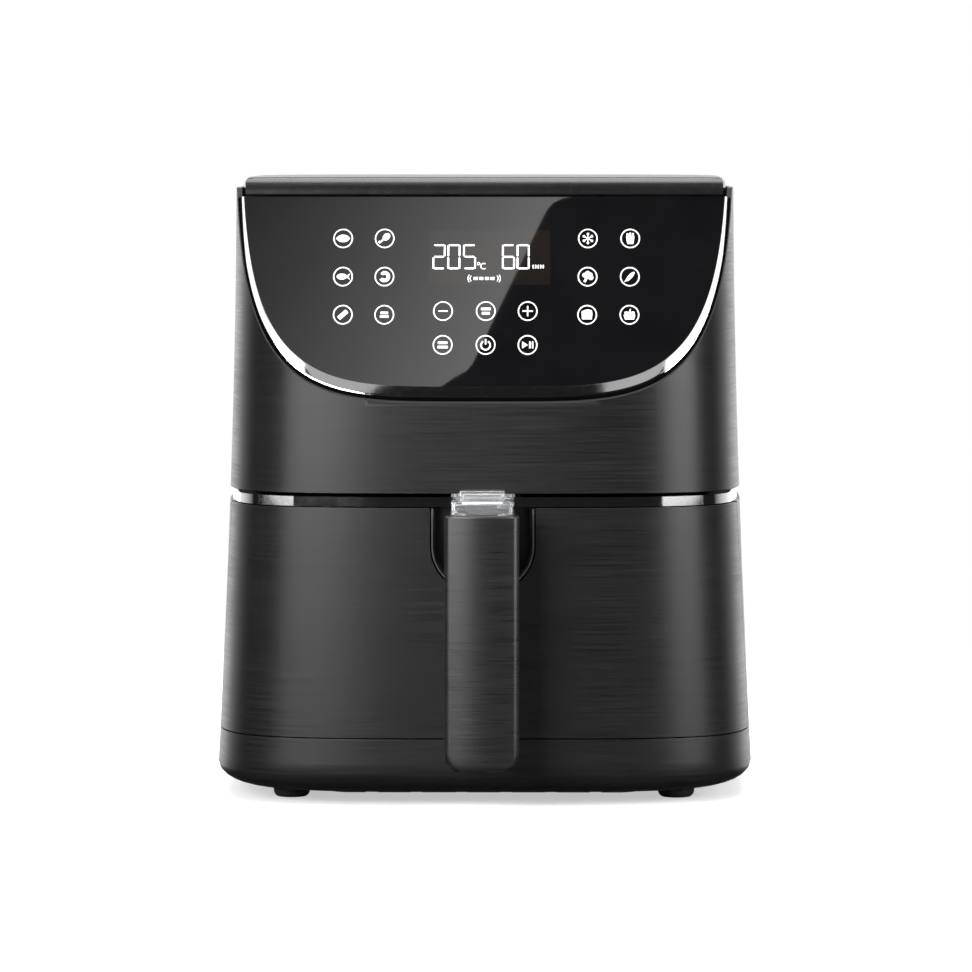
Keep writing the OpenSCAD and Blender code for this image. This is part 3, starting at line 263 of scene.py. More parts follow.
def mouldedFinish(name, dark, light, rough, grainSize, strength, depth, **sockets):
    # pebbled moulding grain with slight blotches
    material, nodes, links, shader = newFinish(name, **sockets)
    pebble = grain(nodes, links, (1 / grainSize,) * 3, 3.0)
    blotch = grain(nodes, links, (26, 26, 26), 2.0, (1, 5, 2))
    links.new(tint(nodes, links, blotch, dark, light), shader.inputs["Base Color"])
    links.new(spread(nodes, links, pebble, rough[0], rough[1]), shader.inputs["Roughness"])
    addBump(nodes, links, shader, pebble, strength, depth)
    return material


finishes = {
    "bodyBlack": brushedFinish("bodyBlack", (0.004, 0.004, 0.0042), (0.011, 0.011, 0.0113), (0.29, 0.4),
                               (24, 24, 2300), 0.32, 0.00004, IOR=1.5),
    "handleBlack": brushedFinish("handleBlack", (0.004, 0.004, 0.0042), (0.016, 0.016, 0.0163), (0.27, 0.34),
                                 (30, 30, 2300), 0.2, 0.00003, IOR=1.74),
    "glossBlack": mouldedFinish("glossBlack", (0.006, 0.006, 0.0065), (0.009, 0.009, 0.0095),
                                (0.22, 0.28), 0.004, 0.03, 0.00001, IOR=1.5),
    "panelGlass": mouldedFinish("panelGlass", (0.0035, 0.0035, 0.004), (0.005, 0.005, 0.0055),
                                (0.012, 0.022), 0.02, 0.01, 0.000002, IOR=1.5),
    "displayTint": mouldedFinish("displayTint", (0.0085, 0.0068, 0.006), (0.0105, 0.0085, 0.0075),
                                 (0.012, 0.022), 0.02, 0.01, 0.000002, IOR=1.5),
    "panelInk": mouldedFinish("panelInk", (0.78, 0.78, 0.78), (0.86, 0.86, 0.86), (0.35, 0.45), 0.0006,
                              0.02, 0.000005, IOR=1.45),
    "litSegment": mouldedFinish("litSegment", (0.7, 0.7, 0.72), (0.8, 0.8, 0.82), (0.3, 0.4), 0.0006,
                                0.02, 0.000005, Emission_Color=(0.95, 0.97, 1.0, 1), Emission_Strength=0.75),
    "chromePlate": mouldedFinish("chromePlate", (0.84, 0.84, 0.85), (0.9, 0.9, 0.91), (0.04, 0.08), 0.003,
                                 0.02, 0.000008, Metallic=1.0),
    "innerPlastic": mouldedFinish("innerPlastic", (0.014, 0.014, 0.0145), (0.024, 0.024, 0.0245),
                                  (0.42, 0.56), 0.0006, 0.3, 0.00003, IOR=1.5),
    "whitePlastic": mouldedFinish("whitePlastic", (0.66, 0.66, 0.63), (0.76, 0.76, 0.73), (0.4, 0.5),
                                  0.0008, 0.2, 0.00003),
    "boardGreen": mouldedFinish("boardGreen", (0.015, 0.1, 0.04), (0.03, 0.18, 0.07), (0.3, 0.45), 0.0015,
                                0.3, 0.00004),
    "pocketBlack": mouldedFinish("pocketBlack", (0.045, 0.045, 0.046), (0.06, 0.06, 0.061), (0.36, 0.46),
                                 0.0008, 0.15, 0.00003, IOR=1.5),
    "footRubber": mouldedFinish("footRubber", (0.012, 0.012, 0.012), (0.024, 0.024, 0.024), (0.68, 0.82),
                                0.0008, 0.4, 0.00005),
    "nonstickCoat": mouldedFinish("nonstickCoat", (0.022, 0.022, 0.0225), (0.042, 0.042, 0.0425),
                                  (0.3, 0.42), 0.0007, 0.35, 0.00004, Coat_Weight=0.25,
                                  Coat_Roughness=0.25),
    "sheetSteel": brushedFinish("sheetSteel", (0.46, 0.465, 0.47), (0.6, 0.605, 0.61), (0.24, 0.36),
                                (60, 900, 900), 0.3, 0.00003, Metallic=1.0),
    "brightSteel": brushedFinish("brightSteel", (0.6, 0.6, 0.61), (0.74, 0.74, 0.75), (0.14, 0.24),
                                 (900, 90, 90), 0.2, 0.00002, Metallic=1.0),
    "elementSheath": mouldedFinish("elementSheath", (0.12, 0.105, 0.095), (0.26, 0.24, 0.225),
                                   (0.34, 0.5), 0.0012, 0.3, 0.00004, Metallic=1.0),
    "castAluminium": mouldedFinish("castAluminium", (0.6, 0.61, 0.62), (0.74, 0.75, 0.76), (0.26, 0.38),
                                   0.001, 0.3, 0.00004, Metallic=1.0),
    "brassFitting": mouldedFinish("brassFitting", (0.5, 0.38, 0.16), (0.66, 0.51, 0.25), (0.2, 0.3),
                                  0.001, 0.2, 0.00003, Metallic=1.0),
    # the share that is not clear scatters near-white: a painted sheen that stands in for the cover's bright
    # glints
    "clearPlastic": mouldedFinish("clearPlastic", (0.9, 0.92, 0.93), (0.96, 0.97, 0.98), (0.02, 0.06),
                                  0.004, 0.05, 0.00001, IOR=1.49, Transmission_Weight=0.92),
    # near-black that reflects almost nothing: painted shade for the groove beside the panel's trim and for
    # the base plate under the fryer
    "paintedShadeBlack": mouldedFinish("paintedShadeBlack", (0.001, 0.001, 0.001), (0.002, 0.002, 0.002), (0.5, 0.6),
                               0.0008, 0.1, 0.00001, IOR=1.04),
}
slotFinish = {
    "body_black": "bodyBlack", "gloss_black": "glossBlack", "handle_black": "handleBlack",
    "panel_glass": "panelGlass", "chrome": "chromePlate", "inner_plastic": "innerPlastic",
    "white_plastic": "whitePlastic", "board_green": "boardGreen", "rubber": "footRubber",
    "nonstick": "nonstickCoat", "sheet_steel": "sheetSteel", "bright_steel": "brightSteel",
    "element_steel": "elementSheath", "aluminium": "castAluminium", "brass": "brassFitting",
    "clear_plastic": "clearPlastic",
}
slotOf = {part["node"]: part["material_slot"] for part in frame["record"]["subparts"]}
bodyOf = {node: body for body, nodes in frame["record"]["behaviour"]["bodies"].items() for node in nodes}
for name, slotName in slotOf.items():
    node = frame["nodes"][name]
    node.data.materials.clear()
    node.data.materials.append(finishes[slotFinish[slotName]])
print("finishes made and put on the packed nodes")

# barrel outline shared by the housing's pieces
barrel = {"width": 281, "topWidth": 261.4, "depth": 298, "topDepth": 282, "height": 322, "power": 4.4,
          "flarePower": 1.7, "widestZ": 16, "rollWidth": 22, "wall": 2.6, "groundGap": 5.6, "steps": 256}


def flare(z):
    span = barrel["height"] - barrel["widestZ"]
    return (max(0, barrel["height"] - max(z, barrel["widestZ"])) / span) ** barrel["flarePower"]


def footRoll(z):
    if z >= barrel["widestZ"]:
        return 0
    t = (barrel["widestZ"] - z) / (barrel["widestZ"] - barrel["groundGap"] + 0.2)
    return barrel["rollWidth"] * (1 - math.sqrt(1 - t * t))


def barrelHalf(z):
    w = barrel["topWidth"] / 2 + (barrel["width"] - barrel["topWidth"]) / 2 * flare(z) - footRoll(z)
    d = barrel["topDepth"] / 2 + (barrel["depth"] - barrel["topDepth"]) / 2 * flare(z) - footRoll(z)
    return w, d


def innerInset(z, wall):
    return wall + footRoll(z - wall) - footRoll(z)


def squirclePoint(angle, w, d):
    p = barrel["power"]
    c, s = math.cos(angle), math.sin(angle)
    r = (abs(c / w) ** p + abs(s / d) ** p) ** (-1 / p)
    return r * c, r * s


def barrelRing(z, inset):
    w, d = barrelHalf(z)
    n = barrel["steps"]
    return [(*squirclePoint(2 * math.pi * (i + 0.5) / n, w - inset, d - inset), z) for i in range(n)]


def barrelSolid(name, levels):
    return outlineSolid(name, [barrelRing(z, inset) for z, inset in levels])


def halfWidthAt(y, z, inset):
    w, d = barrelHalf(z)
    s = 1 - min(1, abs(y) / (d - inset)) ** barrel["power"]
    return (w - inset) * max(0, s) ** (1 / barrel["power"])


def stepsBetween(low, high, count):
    return [low + (high - low) * i / count for i in range(count + 1)]


# sloped panel: v runs up the slope, w out of it
slope = {"tilt": math.radians(33), "sliceZ": 207.3, "trimRise": 1.5, "trimWidth": 3.35, "lidZ": 312.3,
         "sink": 0.4}
sliceY = -barrelHalf(slope["sliceZ"])[1]
sinTilt, cosTilt = math.sin(slope["tilt"]), math.cos(slope["tilt"])


def slopeY(v, w):
    return sliceY + v * sinTilt - w * cosTilt


def slopeZ(v, w):
    return slope["sliceZ"] + v * cosTilt + w * sinTilt


def slopeAt(z, w):
    return (z - slope["sliceZ"] - w * sinTilt) / cosTilt


def slopeFoot(w, inset):
    # where the plane at w leaves the barrel in the middle of the front
    v = 6
    for _ in range(4):
        v = (-barrelHalf(slopeZ(v, w))[1] + inset - sliceY + w * cosTilt) / sinTilt
    return v


def slopeOutline(w, inset, top, count=56):
    # the U outline from the top left round the foot to the top right, as (x, v)
    foot = slopeFoot(w, inset)
    side = []
    for i in range(1, count + 1):
        v = foot + (top - foot) * (i / count) ** 3
        side.append((halfWidthAt(slopeY(v, w), slopeZ(v, w), inset), v))
    return [(-x, v) for x, v in reversed(side)] + side


def onSlope(points, w):
    return [(x, slopeY(v, w), slopeZ(v, w)) for x, v in points]


# housing
housing = {"upperZ": 160.4, "rimZ": 316.4, "lowerTop": 153.4, "outletWidth": 118, "outletHeight": 62,
           "outletZ": 164.9, "seamFootY": -69, "seamTopY": -82, "drawerZ": 34.3, "drawerTop": 152.9,
           "cornerRadius": 10, "seamGap": 0.6, "bandZ": 153.5, "plateWidth": 168, "plateDepth": 224,
           "plateRadius": 20, "glandZ": 56, "glandRadius": 9.05, "glandFlat": 7.05, "rearCut": (100, 200)}

upper = barrelSolid("upperHousing", [(z, 0) for z in stepsBetween(housing["upperZ"], housing["rimZ"], 14)])
carve(upper, barrelSolid("hollow", [(z, barrel["wall"]) for z in stepsBetween(159, 318, 4)]))
sliceEnds = [(slopeY(v, -slope["sink"]), slopeZ(v, -slope["sink"])) for v in (-60, 260)]
sliceLine = sliceEnds + [(-far, z) for _, z in reversed(sliceEnds)]
carve(upper, sidePrism("slice", sliceLine))
outletHalf = housing["outletWidth"] / 2
outletTop = housing["outletZ"] + housing["outletHeight"]
carve(upper, frontPrism("outlet", [(-outletHalf, housing["outletZ"]), (outletHalf, housing["outletZ"]),
                                   (outletHalf, outletTop), (-outletHalf, outletTop)], *housing["rearCut"]))
soften(upper, 0.45, even=True)
fit(upper, "housing", "body_black", finishes["bodyBlack"], "upper_housing")


def windowOutline(gap):
    # side view of the space that the drawer's front fills, with its rounded lower corner
    zb = housing["drawerZ"] + gap
    yb = housing["seamFootY"] - gap
    r = housing["cornerRadius"]
    corner = [(yb - r + r * math.sin(a), zb + r - r * math.cos(a))
              for a in [math.pi / 2 * i / 8 for i in range(9)]]
    return [(-far, zb)] + corner + [(housing["seamTopY"] - gap, housing["bandZ"] + 1),
                                    (-far, housing["bandZ"] + 1)]


lowerLevels = [5.6, 5.75, 6.1, 6.7, 7.6, 8.8, 10.5, 13, 16, 22, 33.3, 60, 90, 120, housing["lowerTop"]]
lower = barrelSolid("lowerHousing", [(z, 0) for z in lowerLevels])
carve(lower, barrelSolid("hollow", [(z, innerInset(z, barrel["wall"]))
                                    for z in [8.2, 8.5, 9, 9.8, 11, 13.2, 18.6, 70, 154.4]]))
opening = roundedOutline(housing["plateWidth"], housing["plateDepth"], housing["plateRadius"])
carve(lower, planPrism("opening", opening, 4, 12))
carve(lower, sidePrism("window", windowOutline(0)))
glandRing = [(housing["glandRadius"] * math.cos(a),
              max(-housing["glandFlat"], housing["glandRadius"] * math.sin(a)) + housing["glandZ"])
             for a in [2 * math.pi * i / 48 for i in range(48)]]
carve(lower, frontPrism("glandHole", glandRing, *housing["rearCut"]))
soften(lower, 0.45, even=True)
fit(lower, "housing", "body_black", finishes["bodyBlack"], "lower_housing")

band = barrelSolid("chromeBand", [(153.5, 1.5), (158.4, 1.5), (160.2, 0.4)])
carve(band, barrelSolid("hollow", [(152, 3.9), (162, 3.9)]))
soften(band, 0, smooth=12)
fit(band, "housing", "chrome", finishes["chromePlate"], "chrome_band")
print("housing and band made")

# lid
lid = {"z": 312.3, "inset": 4.0, "roll": 3.6, "noseHeight": 9.0, "noseDepth": 7.0, "rollSteps": 14}
glassZ = slope["trimRise"] - 0.4
noseY = slopeY(slopeAt(lid["z"], glassZ), glassZ) - 1.2


def clippedRing(z, inset, nose, backSteps=160, noseSteps=40):
    # barrel ring whose front is cut off straight
    w, d = barrelHalf(z)
    w, d = w - inset, d - inset
    low, high = -math.pi / 2, 0
    for _ in range(40):
        middle = (low + high) / 2
        if squirclePoint(middle, w, d)[1] < nose:
            low = middle
        else:
            high = middle
    start = high
    ring = [squirclePoint(start + (math.pi - 2 * start) * i / backSteps, w, d) for i in range(backSteps + 1)]
    left, right = ring[-1], ring[0]
    ring += [(left[0] + (right[0] - left[0]) * i / noseSteps, nose) for i in range(1, noseSteps)]
    return [(x, y, z) for x, y in ring]


def noseInset(z):
    # the front of the lid rolls over in a quarter ellipse
    t = min(1, max(0, (z - barrel["height"] + lid["noseHeight"]) / lid["noseHeight"]))
    return lid["noseDepth"] * (1 - math.sqrt(1 - t * t))


lidRings = [clippedRing(lid["z"], lid["inset"] + 0.6, noseY + 1.0),
            clippedRing(lid["z"] + 0.3, lid["inset"] + 0.3, noseY + 0.3),
            clippedRing(lid["z"] + 0.8, lid["inset"] + 0.1, noseY)]
for i in range(lid["rollSteps"] + 1):
    a = math.pi / 2 * i / lid["rollSteps"]
    z = barrel["height"] - 0.05 - (lid["noseHeight"] - 0.4) * (1 - math.sin(a))
    t = max(0, 1 - (barrel["height"] - 0.05 - z) / lid["roll"])
    inset = lid["roll"] * (1 - math.sqrt(1 - t * t))
    lidRings.append(clippedRing(z, lid["inset"] + inset, noseY + noseInset(z + 0.05)))
lidRings.append(clippedRing(barrel["height"], lid["inset"] + 3 * lid["roll"], noseY + 3 * lid["roll"]))
top = outlineSolid("topCover", lidRings)
soften(top, 0, smooth=50)
fit(top, "housing", "gloss_black", finishes["glossBlack"], "top_cover")

# touch panel and its trim
panel = {"inset": slope["trimWidth"] + 0.08, "thick": 2.5, "edge": 0.1}
glassTop = slopeAt(slope["lidZ"] - 0.3, glassZ)
glass = outlineSolid("controlPanel", [
    onSlope(slopeOutline(glassZ, panel["inset"], glassTop), glassZ - panel["thick"]),
    onSlope(slopeOutline(glassZ, panel["inset"], glassTop), glassZ - panel["edge"]),
    onSlope(slopeOutline(glassZ, panel["inset"] + 0.03, glassTop), glassZ - 0.03),
    onSlope(slopeOutline(glassZ, panel["inset"] + panel["edge"], glassTop), glassZ)])
soften(glass, 0, smooth=30)
pickFaces(glass, lambda face: face.area > 0.002)
bpy.ops.mesh.faces_shade_flat()
bpy.ops.object.mode_set(mode="OBJECT")
fit(glass, "housing", "panel_glass", finishes["panelGlass"], "control_panel")

trimTop = slopeAt(slope["lidZ"] - 0.3, slope["trimRise"])


def trimRun(name, profile, smooth):
    # a profile of (height, inset) points that follows the U
    runs = [onSlope(slopeOutline(glassZ if inset >= slope["trimWidth"] else w, inset, trimTop), w)
            for w, inset in profile]
    piece = outlineSolid(name, [[run[i] for run in runs] for i in range(len(runs[0]))])
    soften(piece, 0, smooth=smooth)
    return piece


# a bright face that leans outwards, beside a low near-black strip that paints the shade in the groove between
# trim and housing
trim = trimRun("panelTrim", [(0.3, 1.26), (0.42, 1.3), (0.52, 1.4), (1.16, 3.0), (1.22, 3.18), (1.24, 3.28),
                             (1.2, 3.35), (-1.2, 3.35), (-1.2, 3.0), (-0.2, 3.0), (-0.2, 1.26)], 24)
fit(trim, "housing", "chrome", finishes["chromePlate"], "panel_trim")
# painted shade: a dark strip laid in the groove, where the real fryer has only a shadowed gap
grooveShade = trimRun("trimGrooveShade", [(-0.25, 0.5), (0.0, 0.5), (0.1, 0.62), (0.1, 1.3), (-0.15, 1.3),
                                    (-0.15, 2.9), (-0.25, 2.9)], 24)
fit(grooveShade, "housing", "inner_plastic", finishes["paintedShadeBlack"])
print("lid, panel and trim made")

# printed and lit marks of the panel, drawn on a flat sheet and then laid on the slope
marks = {"stretch": 1.16, "lift": 0.03, "thick": 0.03, "ringRadius": 4.78, "ringLine": 0.33,
         "leftKeys": [-72.6, -51.2], "rightKeys": [53.5, 75.3], "keyRows": [89.7, 66.4, 43.3],
         "fanOut": 0.004, "middleKeys": [-20.9, 1.2, 22.8], "middleRows": [45.5, 25.1], "rowShift": 8.35,
         "window": [-28.5, 34.4, 61.5, 94.5], "windowThick": 0.02, "digitLow": 70.9, "digitHigh": 86.1,
         "digitWidth": 6.7, "digitBar": 0.88, "digitGap": 0.22}
markPieces = []


def sheetPoint(x, y):
    # the sheet lies level at the frame's origin until it is placed
    return (x, y - axisShift)


def inkPlate(points):
    plate = outlineSolid("mark", [[(*sheetPoint(x, y), z) for x, y in points] for z in (0, marks["thick"])])
    markPieces.append(plate)


def inkDisc(x, y, rx, ry, turn=0.0, count=28):
    c, s = math.cos(math.radians(turn)), math.sin(math.radians(turn))
    points = []
    for i in range(count):
        a = 2 * math.pi * i / count
        u, v = rx * math.cos(a), ry * math.sin(a)
        points.append((x + u * c - v * s, y + (u * s + v * c) * marks["stretch"]))
    inkPlate(points)


def inkBar(x, y, length, width, turn=0.0):
    c, s = math.cos(math.radians(turn)), math.sin(math.radians(turn))
    points = []
    for u, v in ((-1, -0.6), (-0.94, -1), (0.94, -1), (1, -0.6), (1, 0.6), (0.94, 1), (-0.94, 1), (-1, 0.6)):
        u, v = u * length / 2, v * width / 2
        points.append((x + u * c - v * s, y + (u * s + v * c) * marks["stretch"]))
    inkPlate(points)


def inkShape(x, y, points):
    inkPlate([(x + u, y + v * marks["stretch"]) for u, v in points])


def inkArc(x, y, radius, width, start, end, count=20):
    # part of a ring, from start to end in degrees
    outer = [(radius + width / 2, start + (end - start) * i / count) for i in range(count + 1)]
    inner = [(radius - width / 2, a) for _, a in reversed(outer)]
    inkShape(x, y, [(r * math.cos(math.radians(a)), r * math.sin(math.radians(a))) for r, a in outer + inner])


def inkRing(x, y, radius, line, segments=48):
    clearSelection()
    bpy.ops.mesh.primitive_torus_add(major_segments=segments, minor_segments=6, major_radius=radius * mm,
                                     minor_radius=line * mm, location=(x * mm, y * mm, 0))
    ring = bpy.context.object
    ring.scale = (1, marks["stretch"], marks["thick"] / (2 * line))
    bakePlace(ring, "mark")
    bpy.ops.object.mode_set(mode="EDIT")
    bpy.ops.mesh.select_all(action="SELECT")
    bpy.ops.transform.translate(value=(0, 0, marks["thick"] / 2 * mm))
    bpy.ops.object.mode_set(mode="OBJECT")
    markPieces.append(ring)


def row(index, middle=False):
    return (marks["middleRows"] if middle else marks["keyRows"])[index] + marks["rowShift"]


def columns(index):
    # the outer keys of one row, which fan out a little towards the top
    return [x * (1 + marks["fanOut"] * (2 - index)) for x in marks["leftKeys"] + marks["rightKeys"]]


def keyRings():
    for index in range(3):
        for x in columns(index):
            inkRing(x, row(index), marks["ringRadius"], marks["ringLine"])
    for index in range(2):
        for x in marks["middleKeys"]:
            inkRing(x, row(index, True), marks["ringRadius"], marks["ringLine"])


def foodSigns():
    a, b, c, d = columns(0)
    # a cutlet, a drumstick, a snow crystal and a cup of chips
    inkDisc(a, row(0), 3.3, 2.0)
    inkDisc(a, row(0), 3.7, 1.2)
    inkDisc(b + 0.9, row(0) + 1.0, 2.2, 1.7, 45)
    inkBar(b - 1.5, row(0) - 1.5, 3.0, 0.9, 45)
    inkDisc(b - 2.6, row(0) - 2.2, 0.7, 0.7)
    for turn in (0, 60, 120):
        inkBar(c, row(0), 4.0, 0.5, turn + 90)
    for k in range(6):
        t = math.radians(60 * k)
        inkDisc(c + 2.35 * math.sin(t), row(0) + 2.35 * math.cos(t) * marks["stretch"], 0.66, 0.66)
    inkShape(d, row(0), [(-1.6, -2.9), (1.6, -2.9), (2.2, 1.0), (-2.2, 1.0)])
    for k, high in enumerate((2.4, 3.0, 2.6)):
        inkBar(d - 1.4 + 1.4 * k, row(0) + high * 0.7 * marks["stretch"], 2.0, 1.0, 90)
    # a fish, a curled prawn, a sprig of greens and a root
    a, b, c, d = columns(1)
    inkDisc(a - 0.6, row(1), 2.7, 1.6)
    inkShape(a, row(1), [(1.4, 0), (3.6, 1.8), (3.0, 0), (3.6, -1.8)])
    inkArc(b, row(1), 2.0, 1.9, -150, 110)
    inkDisc(b - 0.9, row(1) + 1.9, 1.0, 0.8)
    for u, v in ((-1.4, 0.9), (1.3, 1.1), (0, 2.0), (1.7, -0.6)):
        inkDisc(c + u, row(1) + v, 1.35, 1.25)
    inkBar(c - 0.9, row(1) - 1.6, 3.2, 1.3, 62)
    inkDisc(d + 0.2, row(1) + 0.1, 3.2, 1.05, 48)
    inkBar(d - 2.2, row(1) - 2.4, 1.5, 0.5, 48)
    # a rasher, two plain bars, a loaf and a filled bowl
    a, b, c, d = columns(2)
    inkBar(a, row(2), 5.8, 2.3, 42)
    inkBar(b, row(2) + 1.1, 4.0, 1.3)
    inkBar(b, row(2) - 1.1, 4.6, 1.3)
    inkShape(c, row(2), [(-2.7, -2.4), (2.4, -2.4), (2.7, 0.6), (2.4, 2.3), (0.6, 2.8), (-1.4, 2.5),
                         (-2.9, 1.6)])
    inkShape(d, row(2), [(-3.1, 0.0), (-2.3, -2.5), (2.3, -2.5), (3.1, 0.0)])
    for u in (-1.6, 0.2, 1.8):
        inkDisc(d + u, row(2) + 1.0, 1.0, 0.9)
    inkBar(d + 0.3, row(2) + 2.6, 1.7, 0.6, 70)


def keySigns():
    a, b, c = marks["middleKeys"]
    high, low = row(0, True), row(1, True)
    inkBar(a, high, 4.9, 0.7)
    inkBar(c, high, 5.4, 0.7)
    inkBar(c, high, 5.4, 0.7, 90)
    for x, y, width in ((b, high + 1.3, 5.0), (b, high - 1.3, 4.2), (a, low + 1.3, 5.0), (a, low - 1.3, 5.4)):
        inkBar(x, y, width, 1.4)
    inkArc(b, low - 0.2, 2.35, 0.8, 122, 418, 28)
    inkBar(b, low + 1.9, 2.9, 0.8, 90)
    inkShape(c, low, [(-2.8, 1.9), (0.2, 0.0), (-2.8, -1.9)])
    inkBar(c + 1.2, low, 3.6, 0.8, 90)
    inkBar(c + 2.6, low, 3.6, 0.8, 90)


def digit(lit, x):
    # seven bars, lettered a to g as on any digital clock
    low, high = marks["digitLow"] + marks["rowShift"], marks["digitHigh"] + marks["rowShift"]
    middle = (low + high) / 2
    width, h, gap = marks["digitWidth"], marks["digitBar"] / 2, marks["digitGap"]
    spans = {"a": (x, high, x + width, high), "d": (x, low, x + width, low),
             "g": (x, middle, x + width, middle), "f": (x, middle, x, high), "e": (x, low, x, middle),
             "b": (x + width, middle, x + width, high), "c": (x + width, low, x + width, middle)}
    for name in lit:
        x1, y1, x2, y2 = spans[name]
        if y1 == y2:
            y = y1 + (-h if name == "a" else h if name == "d" else 0) * marks["stretch"]
            v = h * marks["stretch"]
            inkPlate([(x1 + h + gap, y), (x1 + 2 * h + gap, y + v), (x2 - 2 * h - gap, y + v),
                      (x2 - h - gap, y), (x2 - 2 * h - gap, y - v), (x1 + 2 * h + gap, y - v)])
        else:
            xc = x1 + (h if name in "fe" else -h)
            inkPlate([(xc, y1 + gap), (xc + h, y1 + gap + h), (xc + h, y2 - gap - h), (xc, y2 - gap),
                      (xc - h, y2 - gap - h), (xc - h, y1 + gap + h)])


def displayMarks():
    for lit, x in (("abged", -26.6), ("abcdef", -18.9), ("afgcd", -10.8), ("afgedc", 9.4),
                   ("abcdef", 17.0)):
        digit(lit, x)
    low = marks["digitLow"] + marks["rowShift"]
    # degree ring and C, then the three strokes for minutes
    inkRing(-2.7, low + 3.4, 0.62, 0.2, 20)
    inkArc(-0.1, low + 1.9, 1.45, 0.5, 50, 310, 16)
    for u in (25.6, 26.9, 28.2, 29.5, 30.8):
        inkBar(u, low + 1.6, 1.9, 0.6, 90)
    # shake reminder: plain bars between two pairs of ripples
    base = low - 5.6
    for u in (-4.2, -1.3, 1.7, 4.5):
        inkBar(u, base, 2.1, 1.5)
    for side, turn in ((-1, 180), (1, 0)):
        inkArc(side * 5.4 + 0.2, base, 1.9, 0.4, turn - 48, turn + 48, 10)
        inkArc(side * 5.4 + 0.2, base, 3.0, 0.4, turn - 40, turn + 40, 10)


def layOnSlope(piece, w):
    lean = math.pi / 2 - slope["tilt"]
    piece.matrix_world = (Matrix.Translation((0, (sliceY - w * cosTilt + axisShift) * mm,
                                              (slope["sliceZ"] + w * sinTilt) * mm))
                          @ Matrix.Rotation(lean, 4, "X"))
    bakePlace(piece, piece.name)


def joinMarks(name, material):
    clearSelection()
    for plate in markPieces:
        plate.select_set(True)
    bpy.context.view_layer.objects.active = markPieces[0]
    bpy.ops.object.join()
    joined = bpy.context.object
    joined.name = name
    markPieces.clear()
    layOnSlope(joined, glassZ + marks["lift"])
    fit(joined, "housing", "panel_glass", material)


keyRings()
foodSigns()
keySigns()
joinMarks("keySigns", finishes["panelInk"])
displayMarks()
joinMarks("displaySegments", finishes["litSegment"])

x0, x1, v0, v1 = marks["window"]
windowRing = [(x + (x0 + x1) / 2, y) for x, y in
              roundedOutline(x1 - x0, v1 - v0, 1.2, (v0 + v1) / 2 + marks["rowShift"], 6)]
window = outlineSolid("displayWindow", [[(*sheetPoint(x, y), z) for x, y in windowRing]
                                        for z in (0, marks["windowThick"])])
layOnSlope(window, glassZ)
fit(window, "housing", "panel_glass", finishes["displayTint"])
print("panel marks made")

# drawer
drawer = {"thick": 2.8, "flange": 2.8, "panWidth": 233, "panDepth": 240, "panCentre": -2, "panRadius": 46,
          "frontY": -144.008, "pocketHalf": 27.1, "pocketZ": 108.2, "pocketDrop": 24.8,
          "pocketBack": -126.6, "pocketSeam": 0.8, "slotHalf": 7, "slotGap": 3.4, "strapZ": 151.0,
          "strapHalf": 15.4, "strapGap": 0.4, "panGap": 3, "openTop": 180}

seam = housing["seamGap"]
frontLow, frontTop = housing["drawerZ"] + seam, housing["drawerTop"]
face = barrelSolid("drawerFront", [(z, 0) for z in [frontLow] + stepsBetween(45, 141, 6) + [frontTop]])
carve(face, barrelSolid("hollow", [(z, drawer["thick"]) for z in (20, 60, 100, frontTop - drawer["flange"])]))
carve(face, sidePrism("window", windowOutline(seam)), "INTERSECT")
panHole = roundedOutline(drawer["panWidth"] + 2 * drawer["panGap"], drawer["panDepth"] + 2 * drawer["panGap"],
                         drawer["panRadius"] + drawer["panGap"], drawer["panCentre"])
carve(face, planPrism("panHole", panHole, 148, 156))


def pocketOutline(inset, steps=40):
    # front view of the pocket: straight sides over a half ellipse
    w, h = drawer["pocketHalf"] - inset, drawer["pocketDrop"] - inset
    middle = drawer["pocketZ"] + drawer["pocketDrop"]
    bowl = [(w * math.cos(a), middle + h * math.sin(a))
            for a in [math.pi + math.pi * i / steps for i in range(steps + 1)]]
    return bowl + [(w, drawer["openTop"]), (-w, drawer["openTop"])]


carve(face, frontPrism("pocket", pocketOutline(0), -300, -122))
soften(face, 0.45, even=True)
fit(face, "drawer", "body_black", finishes["bodyBlack"], "drawer_front")

pocket = frontPrism("handlePocket", pocketOutline(drawer["pocketSeam"]), drawer["frontY"] - 6,
                    drawer["pocketBack"] + 1.8)
carve(pocket, barrelSolid("skin", [(z, 0.6) for z in (100, 112, 125, 140, frontTop - 0.35)]), "INTERSECT")
dish = [(drawer["frontY"] - 12, 1.3), (drawer["frontY"] + 0.4, 1.5), (drawer["frontY"] + 3, 2.1),
        (drawer["pocketBack"] - 6, 2.7), (drawer["pocketBack"] - 2.5, 3.6), (drawer["pocketBack"] - 0.7, 5.2),
        (drawer["pocketBack"], 7.4)]
carve(pocket, outlineSolid("dish", [[(x, y, z) for x, z in pocketOutline(inset)] for y, inset in dish]))
for name, half, low, back in (
        ("slot", drawer["slotHalf"] + drawer["slotGap"], drawer["pocketZ"] + 1.6, drawer["pocketBack"]),
        ("strapWay", drawer["strapHalf"], drawer["strapZ"] - drawer["strapGap"], 0)):
    carve(pocket, frontPrism(name, [(-half, low), (half, low), (half, drawer["openTop"]),
                                    (-half, drawer["openTop"])], -170, back))
soften(pocket, 0.3, smooth=40)
fit(pocket, "drawer", "inner_plastic", finishes["pocketBlack"], "handle_pocket")

for node, name, width, smooth in (("pan", "drawerPan", 0.35, 40), ("basket", "cookingBasket", 0, 40),
                                  ("drawer_frame", "drawerFrame", 0.3, 32)):
    piece = castFrom(node, name, width, 2, 40, smooth)
    fit(piece, "drawer", slotOf[node], finishes[slotFinish[slotOf[node]]], node)
print("drawer made")

